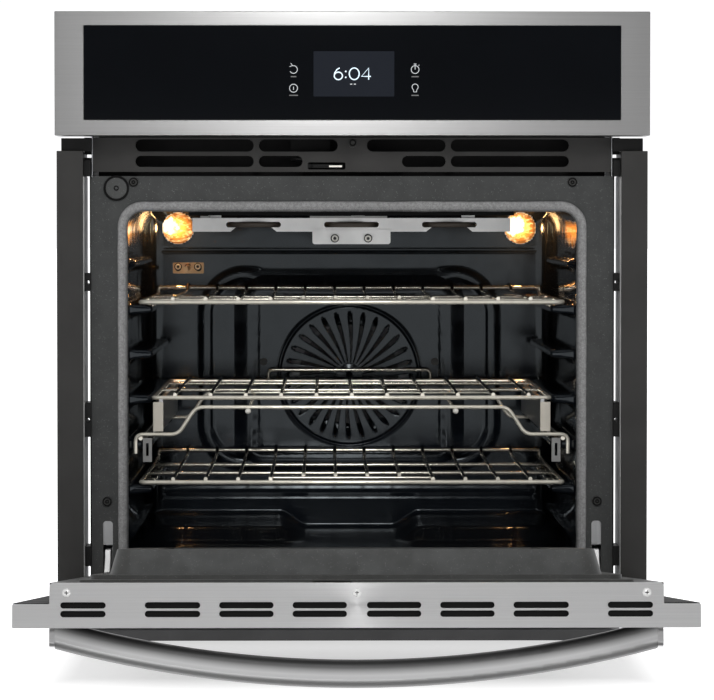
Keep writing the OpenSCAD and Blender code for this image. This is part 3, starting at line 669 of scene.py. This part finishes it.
def side_wall(name, node, sign):
    """A side of the cavity: flat at the front and back, ribbed between."""
    profile = wall_profile()
    ys = [front_y, rib_front - 16] + [rib_front - 14 + 16 * i / 6 for i in range(7)]
    ys += [rib_front + 2 + (rib_back - rib_front - 4) * i / 24 for i in range(1, 24)]
    ys += [rib_back - 2 + 16 * i / 6 for i in range(7)] + [back_y - 12, back_y]
    verts = []
    for y in ys:
        rise = smoothstep(rib_front - 14, rib_front + 2, y) * (1 - smoothstep(rib_back - 2, rib_back + 14, y))
        for depth, z in profile:
            is_rib = floor_z + 12 < z < roof_z - COVE
            d = depth * rise if is_rib else depth
            dent = 0.5 * noise.noise(Vector((y * 0.02, z * 0.05, sign))) if is_rib else 0
            verts.append((sign * (wall_x - d - max(0.0, dent)), y, z))
    faces = grid_faces(len(ys), len(profile))
    if sign > 0:
        faces = [f[::-1] for f in faces]
    return liner_piece(name, verts, faces, (node,), WALL_ENAMEL)


side_wall("cavity_wall_left", "liner_left_wall", -1)
side_wall("cavity_wall_right", "liner_right_wall", 1)

lens_low, lens_high = box_mm("lamp_lenses")
lamp_r = (lens_high.z - lens_low.z) / 2
lamp_x, lamp_z = lens_high.x - lamp_r, (lens_low.z + lens_high.z) / 2
cover_low, cover_high = box_mm("fan_cover")
cover_z, cover_hz = (cover_low.z + cover_high.z) / 2, (cover_high.z - cover_low.z) / 2
fan_low, fan_high = box_mm("convection_fan")
fan_z = (fan_low.z + fan_high.z) / 2


PLATFORM = 18.5


def floor_rise(x, y):
    """The floor steps up to a platform on each side of its middle."""
    return PLATFORM * smoothstep(55, 93, abs(x)) * smoothstep(-8, 24, y)


def hollow(reach, r):
    """How far a rounded inner corner of radius r has curved in."""
    return r - sqrt(max(0.0, r ** 2 - min(reach, r) ** 2))


SIDE_R, ROOF_R, FLOOR_R = 18, 20, 5
BEAD_X, BEAD_Z, BEAD_R, BEAD_LIFT = 189, 125, 52, 3.2
CREASES = ((451, 1.1), (139, 1.2), (125, 0.7))
OPENING_X, OPENING_Z = 140, cover_hz - 16


def back_relief(x, z):
    """How far the back wall stands forward of its flat at a point."""
    relief = hollow(max(0.0, abs(x) - (wall_x - SIDE_R)), SIDE_R)
    relief = max(relief, hollow(max(0.0, z - (roof_z - ROOF_R)), ROOF_R))
    relief = max(relief, hollow(max(0.0, floor_z + floor_rise(x, back_y) + FLOOR_R - z), FLOOR_R))
    outline = rounded_box_distance(x, z - cover_z - 6, BEAD_X, BEAD_Z, BEAD_R)
    slope = (1 - smoothstep(112, 150, abs(x))) * smoothstep(300, 350, z)
    relief += BEAD_LIFT * (1 - smoothstep(3.5, 10.5, abs(outline))) * (1 - slope)
    relief += 2.2 * min(1.0, max(0.0, (427 - z) / 44)) * slope
    for level, depth in CREASES:
        if abs(x) < wall_x - 20:
            relief -= depth * (1 - smoothstep(0.5, 3.0, abs(z - level)))
    return relief


def back_wall():
    xs, zs = spread(-wall_x, wall_x, 260), spread(floor_z, roof_z, 210)
    verts = [(x, back_y - back_relief(x, z), z) for z in zs for x in xs]

    def skip(r, c):
        x, z = (xs[c] + xs[c + 1]) / 2, (zs[r] + zs[r + 1]) / 2
        if hypot(abs(x) - lamp_x, z - lamp_z) < lamp_r + 0.5:
            return True
        return rounded_box_distance(x, z - cover_z, OPENING_X, OPENING_Z, 30) < 0

    return liner_piece("cavity_back", verts, grid_faces(len(zs), len(xs), skip), ("liner_back_wall",))


back_wall()


def chamber():
    """The fan's chamber behind the back wall."""
    steps = ((0, -0.2), (6, 3), (14, 20), (15, 40), (60, 41.5))
    verts = []
    for inset, depth in steps:
        for dx, _, dz in circle(0, 0, 0, 1, 96):
            scale = min((OPENING_X - inset) / max(1e-6, abs(dx)), (OPENING_Z - inset) / max(1e-6, abs(dz)))
            verts.append((dx * scale, back_y + depth, cover_z + dz * scale))
    return liner_piece("fan_chamber", verts, grid_faces(len(steps), 96, wrap=True))


chamber()

SLOTS, PER_SLOT = 28, 10
FIRST_SLOT_RING, LAST_SLOT_RING = 5, 17
GROOVE_R, GRILLE_EDGE = 92.6, 95
COVER_X, COVER_R = 156, 40
SWIRL = radians(6) / 70


def cover_edge(x, z):
    """How far inside the fan cover's outline a point lies."""
    return -rounded_box_distance(x, z - cover_z, COVER_X, cover_hz, COVER_R)


def fan_cover():
    """Slotted cover: hub, ring of swirled slots, groove, and the pressed panel out to its rounded edge."""
    count = SLOTS * PER_SLOT
    radii = [0.5, 7, 11, 14, 16, 17.5] + [19 + 65 * i / 12 for i in range(13)]
    radii += [86, 88.5, 90.5, 91.6, GROOVE_R, 93.8, GRILLE_EDGE]
    verts = []
    for r in radii:
        groove = 1.7 * (1 - smoothstep(0.6, 2.2, abs(r - GROOVE_R)))
        lift = 1.2 * (1 - smoothstep(6, 17, r)) - groove
        swirl = SWIRL * max(0.0, r - 18)
        for i in range(count):
            a = 2 * pi * i / count + swirl
            verts.append((r * cos(a), back_y - 5 - lift, fan_z + r * sin(a)))
    steps = 26
    for s in range(1, steps + 1):
        t = s / steps
        for i in range(count):
            a = 2 * pi * i / count + SWIRL * (GRILLE_EDGE - 18)
            dx, dz = cos(a), sin(a)
            low, high = GRILLE_EDGE, 260.0
            for _ in range(18):
                mid = (low + high) / 2
                low, high = (mid, high) if cover_edge(dx * mid, fan_z + dz * mid) > 0 else (low, mid)
            r = GRILLE_EDGE + (low - GRILLE_EDGE) * t
            x, z = dx * r, fan_z + dz * r
            edge = cover_edge(x, z)
            lift = 5.4 * smoothstep(0, 24, edge) - 1.3 * (1 - smoothstep(0.8, 3.2, abs(edge - 34)))
            verts.append((x, back_y + 0.4 - lift, z))

    def skip(r, c):
        place = c % PER_SLOT
        if FIRST_SLOT_RING < r < LAST_SLOT_RING:
            return 4 <= place <= 6
        return r in (FIRST_SLOT_RING, LAST_SLOT_RING) and place == 5

    rows = len(radii) + steps
    faces = [f[::-1] for f in grid_faces(rows, count, skip, wrap=True)]
    return solid(liner_piece("fan_cover_panel", verts, faces, ("fan_cover",)), 1.6, -1)


fan_cover()


def floor_pan():
    """The floor, with its steps in an enamel that mirrors more."""
    xs, ys = spread(-wall_x, wall_x, 132), spread(front_y, back_y, 160)
    verts = [(x, y, floor_z + floor_rise(x, y) + 0.05) for y in ys for x in xs]
    pan = liner_piece("cavity_floor", verts, grid_faces(len(ys), len(xs)), ("liner_floor",), FLOOR_ENAMEL)
    pan.data.materials.append(STEP_ENAMEL)
    for face in pan.data.polygons:
        x, y = abs(face.center.x) / MM, face.center.y / MM
        face.material_index = 1 if -12 < y < 28 and x > 80 else 0
    return pan


floor_pan()


# ---------------------------------------------------------------- gasket
gasket_low, gasket_high = box_mm("door_gasket")


def gasket():
    """A soft woven tube pressed flat on the front frame, with a slightly wavy edge, and bands of painted shade and
    highlight round it.
    """
    width, proud = 12.0, gasket_high.y - gasket_low.y
    half_x = gasket_high.x - width / 2
    half_z = (gasket_high.z - gasket_low.z - width) / 2
    mid_z = (gasket_high.z + gasket_low.z) / 2
    r = 30.0 - width / 2
    path = []
    corners = ((1, 1, 0), (-1, 1, 90), (-1, -1, 180), (1, -1, 270))
    for n, (sx, sz, start) in enumerate(corners):
        cx, cz = sx * (half_x - r), sz * (half_z - r)
        for i in range(13):
            a = radians(start + 90 * i / 12)
            path.append((cx + r * cos(a), cz + r * sin(a), cos(a), sin(a)))
        nx, nz, _ = corners[(n + 1) % 4]
        a = radians(start + 90)
        x0, z0 = cx + r * cos(a), cz + r * sin(a)
        x1, z1 = nx * (half_x - r) + r * cos(a), nz * (half_z - r) + r * sin(a)
        for i in range(1, 60):
            t = i / 60
            path.append((x0 + (x1 - x0) * t, z0 + (z1 - z0) * t, cos(a), sin(a)))
    ring = 16
    verts = []
    for n, (x, z, nx, nz) in enumerate(path):
        wobble = noise.noise(Vector((x * 0.03, z * 0.03, 2.0)))
        fine = noise.noise(Vector((x * 0.11, z * 0.11, 5.0)))
        w = width / 2 * (1 + 0.07 * wobble + 0.04 * fine)
        for i in range(ring):
            a = 2 * pi * i / ring
            out = copysign(abs(cos(a)) ** 0.8, cos(a)) * w
            up = (sin(a) + 1) / 2
            flat = 1 - 0.12 * abs(cos(a))
            verts.append((x + nx * out, gasket_high.y - proud * up * flat, mid_z + z + nz * out))
    count = len(path)
    faces = []
    for n in range(count):
        m = (n + 1) % count
        for i in range(ring):
            j = (i + 1) % ring
            faces.append((n * ring + i, m * ring + i, m * ring + j, n * ring + j))
    rope = mesh_piece("gasket_rope", verts, faces, "chassis", "gasket_weave", ("door_gasket",))
    # Lit and shaded copies of the weave round the tube: the inner side darker as painted shade, the crest lighter
    # as a painted highlight, the faces either side of the crest darker as painted shade.
    painted_light_bands = (("gasket_inner_painted_shade", 0.045, (6, 7, 8, 9)), ("gasket_crest_painted_highlight", 0.155, (2, 3)),
             ("gasket_fall_painted_shade", 0.1, (5, 15, 0)))
    place = [0] * ring
    for index, (name, shade, sides) in enumerate(painted_light_bands, 1):
        rope.data.materials.append(weave(name, shade))
        for side in sides:
            place[side] = index
    for face in rope.data.polygons:
        face.material_index = place[face.index % ring]
    return rope


gasket()


# ---------------------------------------------------------------- lamps
def lens_look(name, centre):
    """A glowing dome: white heat near its middle, orange towards its rim, with a few darker ripples."""
    sh = Shader(name, (0.5, 0.22, 0.06), 0.08)
    shift = sh.node("Mapping")
    shift.vector_type = "TEXTURE"
    shift.inputs["Location"].default_value = tuple(c * MM for c in centre)
    shift.inputs["Scale"].default_value = (lamp_r * MM,) * 3
    warp = sh.node("Mix")
    warp.data_type = "VECTOR"
    warp.inputs["Factor"].default_value = 0.016
    noise_tex = sh.node("TexNoise")
    noise_tex.inputs["Scale"].default_value = 150
    sh.link(sh.coord.outputs["Object"], noise_tex.inputs["Vector"])
    sh.link(sh.coord.outputs["Object"], warp.inputs["A"])
    sh.link(noise_tex.outputs["Color"], warp.inputs["B"])
    sh.link(warp.outputs["Result"], shift.inputs["Vector"])
    ball = sh.node("TexGradient")
    ball.gradient_type = "SPHERICAL"
    sh.link(shift.outputs["Vector"], ball.inputs["Vector"])
    stops = ((0.0, (0.25, 0.08, 0.015)), (0.05, (1.0, 0.62, 0.26)), (0.1, (0.35, 0.12, 0.025)),
             (0.19, (0.7, 0.3, 0.08)), (0.26, (1.0, 0.66, 0.28)), (0.34, (1.0, 0.9, 0.62)),
             (0.45, (1.0, 1.0, 0.92)))
    ripple = sh.ramp(sh.noise(120, (1, 1, 2.2), detail=2), 0.3, 0.7, -0.06, 0.06)
    heat = sh.combine("ADD", ball.outputs["Fac"], ripple)
    sh.feed("Emission Color", sh.tone(heat, stops))
    sh.put("Emission Strength", 1.4)
    sh.bump(260, 0.0006)
    return sh.mat


def lamp(name, sign):
    rows, ring = 12, 48
    depth = 11.0
    lens = []
    for r in range(rows):
        a = radians(90 * r / (rows - 1))
        rad = lamp_r * cos(a) if r < rows - 1 else 0.05
        lens += circle(sign * lamp_x, back_y - 1 - depth * sin(a), lamp_z, rad, ring)
    look = lens_look(name + "_look", (sign * lamp_x - 5.0, back_y - depth, lamp_z + 5.0))
    obj = mesh_piece(name, lens, grid_faces(rows, ring, wrap=True), "chassis", "lens_glass", look=look)
    data = bpy.data.lights.new(name + "_light", "POINT")
    data.energy = 0.13
    data.color = (1.0, 0.52, 0.2)
    data.shadow_soft_size = 0.005
    light = add_object(name + "_light", data)
    light.location = (sign * lamp_x * MM, (back_y - 26) * MM, lamp_z * MM)
    return obj


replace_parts(lamp("lamp_lens_left", -1), "lamp_lenses")
lamp("lamp_lens_right", 1)

# ---------------------------------------------------------------- racks
rail_x = rack_high.x + 1.0
WIRE_R = 3.2
bar_front, bar_back = rack_low.y + WIRE_R, rack_high.y - WIRE_R
GRID_PITCH = 38.6
RUN_D, TIP_D = 4.4, 4.9


def plain_rack(node):
    z = box_mm(node)[0].z + WIRE_R
    top, bend, low_back, high_back = z + 3.9, bar_back - 18, bar_back - 30, z + 9
    front_bar = [(-rail_x, low_back, z), (-rail_x, bar_front, z), (rail_x, bar_front, z),
                 (rail_x, low_back, z)]
    rails = []
    for x in (-rail_x, rail_x):
        rails.append((fillet([(x, low_back - 1, z), (x, bar_back, z), (x, bar_back, high_back)], 5), 6))
    bars = [([(-rail_x, bar_back, high_back), (rail_x, bar_back, high_back)], 5.4),
            ([(-100, bar_front + 66, z), (100, bar_front + 66, z)], RUN_D)]
    bars += [([(-rail_x, bar_front + y, z), (rail_x, bar_front + y, z)], 5) for y in (138, 271)]
    runs, ends = [], []
    for i in range(12):
        x = (i - 5.5) * GRID_PITCH
        front = bar_front + (65 if abs(x) < 90 else -1)
        runs.append((fillet([(x, front, top), (x, bend, top), (x, bar_back, z + 12.4)], 10), RUN_D))
        ends.append(((x, front - 0.6, top), TIP_D))
    tubes(node + "_wires", rails + bars, node, "rack_wire", replaces=(node,))
    # The running wires are in painted shade; the front bar and the cut ends carry a painted highlight.
    tubes(node + "_runs", runs, node, "rack_wire", look=PAINTED_SHADE_NICKEL)
    tubes(node + "_front_bar", [(fillet(front_bar, 6), 5.4)], node, "rack_wire", look=PAINTED_HIGHLIGHT_NICKEL)
    wire_ends(node + "_tips", ends, node, "rack_wire", PAINTED_HIGHLIGHT_NICKEL)


plain_rack("lower_rack")
plain_rack("upper_rack")


def glide_shelf():
    low, high = box_mm("glide_shelf")
    hoop = high.z - 2.2
    z = hoop - 14.5
    top, back = z + 3.4, bar_front + 398
    side = 235
    loop = [(-side, bar_front + 20, z), (-side, bar_front, z), (side, bar_front, z), (side, back, z),
            (-side, back, z), (-side, bar_front + 19, z)]
    bars = [([(-side, y, z), (side, y, z)], 5) for y in (bar_front + 172, bar_front + 330)]
    runs, ends = [], []
    for i in range(-5, 6):
        runs.append(([(i * 42, bar_front - 1, top), (i * 42, back + 1, top)], RUN_D))
        ends.append(((i * 42, bar_front - 1.6, top), TIP_D))
    back_hoop = [(-106.5, back, z), (-106.5, back, hoop), (106.5, back, hoop), (106.5, back, z)]
    bars.append((fillet(back_hoop, 9), RUN_D))
    tubes("glide_shelf_wires", bars, "glide_shelf", "rack_wire", replaces=("glide_shelf",))
    # The running wires are in painted shade; the loop and the cut ends carry a painted highlight.
    tubes("glide_shelf_runs", runs, "glide_shelf", "rack_wire", look=PAINTED_SHADE_NICKEL)
    tubes("glide_shelf_loop", [(fillet(loop, 5), 5.2)], "glide_shelf", "rack_wire", look=PAINTED_HIGHLIGHT_NICKEL)
    wire_ends("glide_shelf_tips", ends, "glide_shelf", "rack_wire", PAINTED_HIGHLIGHT_NICKEL)
    rails = both_sides(224, 228.8, bar_front - 4, 130, low.z + 2, z - 1.4)
    box_piece("glide_shelf_rails", rails, "glide_shelf", "rack_wire", look=LOOKS["bright_steel"])
    caps = both_sides(223.6, 235.8, bar_front - 5.5, bar_front - 4, low.z, z - 5)
    box_piece("glide_shelf_caps", caps, "glide_shelf", "rack_wire", look=CAP_BEIGE, edge=0.6)


CAP_BEIGE = plain("cap_beige", (0.62, 0.58, 0.5), 0.35, metal=0.4)
glide_shelf()


def glide_base():
    front = bar_front - 4
    runner = rack_low.z + WIRE_R - 3 - RIB_GAP + RIB_PITCH + 2.5
    cross, raised = runner + 4.6, 268
    half_hoop = [(185, raised), (206, cross), (256.6, cross), (256.6, 213)]
    half_rear = [(185, raised), (206, cross), (250, cross)]
    runs = []
    for half, y in ((half_hoop, front), (half_rear, 90)):
        path = [(-x, y, z) for x, z in half[::-1]] + [(x, y, z) for x, z in half]
        runs.append((fillet(path, 9), 4.6))
    runs += [([(s * rail_x, front, runner), (s * rail_x, rib_back, runner)], 5) for s in (-1, 1)]
    runs += [([(x, front - 6, 263.6), (x, 110, 263.6)], RUN_D) for x in (-123, 123)]
    # The glide base's wires carry a painted highlight, and its ball tips are near-white as a painted highlight.
    tubes("glide_base_wires", runs, "chassis", "rack_wire", replaces=("glide_base_frame",), look=PAINTED_HIGHLIGHT_NICKEL)
    tips = [((x, front - 6, 263.6), 7) for x in (-123, 123)]
    beads("glide_base_tips", tips, "chassis", "rack_wire", look=PAINTED_GLINT_NICKEL)
    near, far = front + 2.2, front + 3.7
    plates = both_sides(232.6, 236, near, 150, cross + 2, 272)
    for x0, x1, z0, z1 in ((237.5, 241.2, 203, runner), (244.4, 248, 203, runner), (241.2, 244.4, 203, 210),
                           (241.2, 244.4, runner - 6, runner)):
        plates += both_sides(x0, x1, near, far, z0, z1)
    box_piece("glide_base_plates", plates, "chassis", "rack_wire", look=HANGER_STEEL, edge=0)


glide_base()

# ---------------------------------------------------------------- door
half_w = nodes["door_end_plate"].dimensions.x / 2 / MM
CORE_X, DOOR_IN, DOOR_TOP, EAR = 306.0, -304.0, 581.0, 24.0


def end_plate():
    notch, small, large = DOOR_OUT + EAR, 1.5, 4
    side = half_w - small
    outline = round_corner(side, DOOR_OUT + small, small, -90) + round_corner(side, notch - small, small, 0)
    outline += [(CORE_X, notch)] + round_corner(CORE_X - large, DOOR_IN - large, large, 0)
    outline += round_corner(large - CORE_X, DOOR_IN - large, large, 90) + [(-CORE_X, notch)]
    outline += round_corner(-side, notch - small, small, 90)
    outline += round_corner(-side, DOOR_OUT + small, small, 180)
    holes = []
    for x0, x1 in ((10, 64), (83, 137), (156, 211), (250, 295)):
        for y in (DOOR_IN - 22.4, DOOR_IN - 31):
            holes += [slot_loop(x0, x1, y, 6.1), slot_loop(-x1, -x0, y, 6.1)]
    place = OPEN @ Matrix.Translation((0, 0, (DOOR_TOP - 0.6) * MM))
    plate_2d("end_plate_sheet", outline, holes, 1.2, "door", DOOR_STEEL, ("door_end_plate",),
             place)


end_plate()


def end_screws():
    verts, faces, marks = [], [], []
    rings, ring = 7, 32
    for x in (-289, 0, 289):
        base = len(verts)
        y = DOOR_IN - 10
        for r in range(rings):
            a = radians(90 * r / (rings - 1))
            rad = max(0.05, 4.4 * cos(a))
            height = DOOR_TOP + 1.7 * sin(a)
            verts += [(px, py, height) for px, _, py in circle(x, 0, y, rad, ring)]
        faces += shifted(grid_faces(rings, ring, wrap=True), base)
        marks += [((x - 1.9, y - 0.45, DOOR_TOP + 1.2), (x + 1.9, y + 0.45, DOOR_TOP + 1.78)),
                  ((x - 0.45, y - 1.9, DOOR_TOP + 1.2), (x + 0.45, y + 1.9, DOOR_TOP + 1.78))]
    mesh_piece("end_screw_heads", verts, faces, "door", "bright_steel", ("door_end_screws",),
               plain("screw_nickel", (0.85, 0.85, 0.84), 0.3, metal=0.5), matrix=OPEN)
    # The dark crosses are painted shade in the screw slots.
    box_piece("end_screw_recesses", marks, "door", "bright_steel", look=PAINTED_SHADE_SHEET, matrix=OPEN, edge=0)


end_screws()

# ---------------------------------------------------------------- front details
vent_low, vent_high = box_mm("vent_plate")
plug_low, plug_high = box_mm("frame_plug")
trim_low, trim_high = box_mm("side_trims")


def rings_on_front(name, spots, minor, look=PAINTED_SHADE_SHEET, slot="dark_paint"):
    """Rings that face the front: each spot is (x, y, z, radius)."""
    verts, faces = [], []
    big, small = 40, 8
    for x, y, z, r in spots:
        base = len(verts)
        for i in range(big):
            a = 2 * pi * i / big
            for j in range(small):
                b = 2 * pi * j / small
                reach, lift = r + minor * cos(b), minor * 0.6 * sin(b)
                verts.append((x + reach * cos(a), y + lift, z + reach * sin(a)))
        for i in range(big):
            for j in range(small):
                k, m = (i + 1) % big, (j + 1) % small
                quad = (i * small + j, i * small + m, k * small + m, k * small + j)
                faces.append(tuple(base + corner for corner in quad))
    return mesh_piece(name, verts, faces, "chassis", slot, look=look)


def blocks(name, boxes, look=PAINTED_SHADE_SHEET, body="chassis", slot="dark_paint", matrix=None, edge=0):
    return box_piece(name, boxes, body, slot, look, matrix, edge)


plug_x, plug_z = (plug_low.x + plug_high.x) / 2, (plug_low.z + plug_high.z) / 2
# The dark rings are painted shade in the gaps round the plug and the screw heads, and in their middles.
rings_on_front("plug_ring", [(plug_x, plug_low.y - 0.2, plug_z, 13.6)], 1.3)
rings_on_front("plug_dimple", [(plug_x, plug_low.y - 0.1, plug_z, 2.4)], 0.6)
rings_on_front("vent_screw_ring", [(0.5, -292.6, 580, 3.2)], 0.9)
screw_spots = [(x, plug_low.y - 0.2, z) for x, z in ((-255, 534), (257, 534), (-286.5, 161), (286.5, 161))]
rings_on_front("screw_rings", [(*spot, r) for spot in screw_spots for r in (4.6, 1.6)], 0.75)

SENSOR_Z, BRACKET_Z, PLATE_Y = 429.0, 468.0, -178.4
sensor_y = back_y - 4.2
fastener_spots = [(-226, sensor_y, SENSOR_Z), (-200, sensor_y, SENSOR_Z), (-20, PLATE_Y, BRACKET_Z),
                  (20, PLATE_Y, BRACKET_Z)]
# Round the fasteners, the dark wells are painted shade and the pale rims are painted highlights.
rings_on_front("fastener_wells", [(*spot, 4.5) for spot in fastener_spots], 0.55)
rings_on_front("fastener_rims", [(*spot, 2.9) for spot in fastener_spots], 1.1, PAINTED_GLINT_NICKEL, "bright_steel")
rings_on_front("sensor_ferrule", [(-213, sensor_y, SENSOR_Z, 2.6)], 1.7, DARK_COPPER, "sensor_brass")
# The latch glint is a painted highlight on the hook's front.
blocks("latch_glint", [((-27, -288.3, 551.6), (-12, -287.4, 553.6))], PAINTED_GLINT_NICKEL, "latch", "bright_steel")

# A dark sheet of painted shade lies over the bracket's tall tabs, and short pale strips stand for what shows of
# them.
blocks("bracket_shade", [((-196, -176.6, 495.6), (196, -175.6, 504))])
strips = [((x0, -175.6, 492.4), (x1, -174.4, 495)) for x0, x1 in ((-50, 43), (-182, -170))]
blocks("bracket_strip", strips, HANGER_STEEL, slot="bright_steel", edge=0.2)

# Dark sheets of painted shade: behind openings, so that no daylight shows through them, and on the tops of the
# door's ears.
vent_back = vent_high.y + 38
shade = [((vent_low.x + 4, vent_back, vent_low.z - 14), (vent_high.x - 4, vent_back + 1, vent_high.z + 5))]
blocks("vent_shade", shade, edge=0.3)
shade = [((-304, -347, DOOR_TOP - 5), (304, -306, DOOR_TOP - 4))]
blocks("end_plate_shade", shade, body="door", matrix=OPEN, edge=0.3)
blocks("ear_shade", both_sides(307, 342, -325.6, -324.2, 20, DOOR_TOP - 1.6), body="door", matrix=OPEN)

# Folded edges of the side trims, and the dark edges of the front frame and the vent plate, which are painted
# shade.
returns = both_sides(311.8, 312.4, trim_low.y + 2, trim_high.y - 1, trim_low.z + 1, 540)
blocks("trim_returns", returns, RETURN_STEEL)
edges = []
for reach, z0, z1 in ((306.2, 66, 541), (312.4, 559, 562.5), (312.4, 566.5, 586)):
    edges += both_sides(304.5, reach, vent_low.y - 0.5, vent_low.y + 18, z0, z1)
blocks("frame_edges", edges, slot="frame_enamel", edge=0.3)

# ---------------------------------------------------------------- display
display_y = box_mm("control_glass")[0].y - 0.15
SCREEN = glow("screen", (0.0125, 0.0145, 0.0195), 0.85)
DIGITS = glow("digits", (0.72, 0.86, 0.95), 1.0)
MARKS = glow("marks", (0.62, 0.64, 0.66), 0.7)
FAINT = glow("faint_marks", (0.2, 0.2, 0.2), 0.5)


def flat_panel(name, x0, x1, z0, z1, r, look):
    """A thin sheet with rounded corners in the plane of the glass."""
    corners = ((x1 - r, z1 - r), (x0 + r, z1 - r), (x0 + r, z0 + r), (x1 - r, z0 + r))
    pts = []
    for n, (cx, cz) in enumerate(corners):
        pts += [(x, display_y, z) for x, z in arc(cx, cz, r, 90 * n, 90 * n + 90, 6)]
    obj = mesh_piece(name, pts, [tuple(range(len(pts)))], "chassis", "black_glass", look=look, smooth=False)
    return solid(obj, 0.1, 0)


def strokes(name, paths, width, look):
    """Thin round strokes in the plane of the glass: each path is (points, closed)."""
    curve = new_curve(name, "3D", width / 2, 2, look)
    for points, closed in paths:
        add_run(curve, [(x, display_y, z) for x, z in points], closed=closed)
    return join_body(add_object(name, curve), "chassis")


SCREEN_X, SCREEN_Z = (-45, 48), (632, 684)
flat_panel("screen_area", *SCREEN_X, *SCREEN_Z, 0.8, SCREEN)
DIGIT_H, DIGIT_Z = 13.4, 651.4
STROKE = 1.4


def clock_digits():
    z, h = DIGIT_Z, DIGIT_H
    top = z + h
    six_x, zero_x, four_x = -16.4, 1.9, 14.9
    six = arc(six_x, z + 4.3, 4.7, 0, 360, 28, 4.3)
    six_stem = [(six_x - 4.6, z + 5.2), (six_x - 4.0, z + 8.2), (six_x - 1.6, z + 11.7), (six_x + 1.5, top)]
    zero = arc(zero_x, z + h / 2, 5.7, 0, 360, 32, h / 2)
    four = [(four_x + 3.6, z), (four_x + 3.6, top), (four_x - 4.6, z + 3.7), (four_x + 6.2, z + 3.7)]
    colon = [arc(-7.9, z + dz, 0.45, 0, 360, 8) for dz in (2.6, 9.4)]
    strokes("clock_digits", [(six, True), (six_stem, False), (zero, True), (four, False)], STROKE, DIGITS)
    strokes("clock_colon", [(dot, True) for dot in colon], 1.2, DIGITS)
    dashes = [([(x - 1.2, z - 5.2), (x + 1.2, z - 5.2)], False) for x in (-1.6, 2.6)]
    strokes("clock_dashes", dashes, 1.2, MARKS)


clock_digits()


def icons():
    left, right = -68.0, 72.0
    upper, lower = 663.0, 641.5
    back = arc(left, upper, 4.4, -150, 110, 22)
    head = [(left - 4.6, upper + 3.2), (left - 1.2, upper + 4.6), (left - 3.2, upper + 7.2)]
    power = arc(left, lower, 4.6, 0, 360, 26)
    bar = [(left, lower - 1.8), (left, lower + 1.8)]
    timer = arc(right, upper, 4.5, 0, 360, 26)
    hand = [(right, upper), (right, upper + 6.2)]
    crown = [(right - 1.6, upper + 6.4), (right + 1.6, upper + 6.4)]
    knob = [(right + 4.0, upper + 4.6), (right + 4.9, upper + 5.4)]
    bulb = arc(right, lower + 1.4, 3.5, -55, 235, 22)
    half_neck = [(1.7, lower - 4.2), (1.9, lower - 1.6)]
    neck = [(right - x, z) for x, z in half_neck[::-1]] + [(right + x, z) for x, z in half_neck]
    loops = [(path, True) for path in (power, timer)]
    lines = [(path, False) for path in (back, head, bar, hand, crown, knob, bulb, neck)]
    strokes("panel_icons", loops + lines, 0.8, MARKS)
    dashes = [([(x - w, z - 8.2), (x + w, z - 8.2)], False) for x, z, w in
              ((left, upper, 3.2), (left, lower, 5), (right, upper, 4.2), (right, lower, 4.2))]
    strokes("icon_dashes", dashes, 1.3, FAINT)


icons()


# ---------------------------------------------------------------- floor
def pale_floor():
    """A pale floor that glows a little, with a painted shadow below the oven where the glow is weaker. Mirrors
    don't see it.
    """
    mesh = bpy.data.meshes.new("studio_floor")
    s = 60.0
    mesh.from_pydata([(-s, -s, 0), (s, -s, 0), (s, s, 0), (-s, s, 0)], [], [(0, 1, 2, 3)])
    sh = Shader("pale_floor", (0.5, 0.5, 0.5), 0.6, spec=0.1)
    sh.vary(2, 0.01)
    sh.put("Emission Color", (1, 1, 1, 1))
    split = sh.node("SeparateXYZ")
    sh.link(sh.coord.outputs["Object"], split.inputs[0])
    # Painted shadow: the glow drops in a soft-edged patch below and just in front of the oven.
    aside = sh.ramp(sh.combine("ABSOLUTE", split.outputs["X"]), 0.3, 0.352)
    ahead = sh.ramp(split.outputs["Y"], -0.61, -0.7)
    sh.feed("Emission Strength", sh.ramp(sh.combine("MAXIMUM", aside, ahead), 0, 1, 0.6, 1.02))
    mesh.materials.append(sh.mat)
    obj = add_object("studio_floor", mesh)
    obj.location.z = -0.0005
    obj.visible_glossy = False


pale_floor()
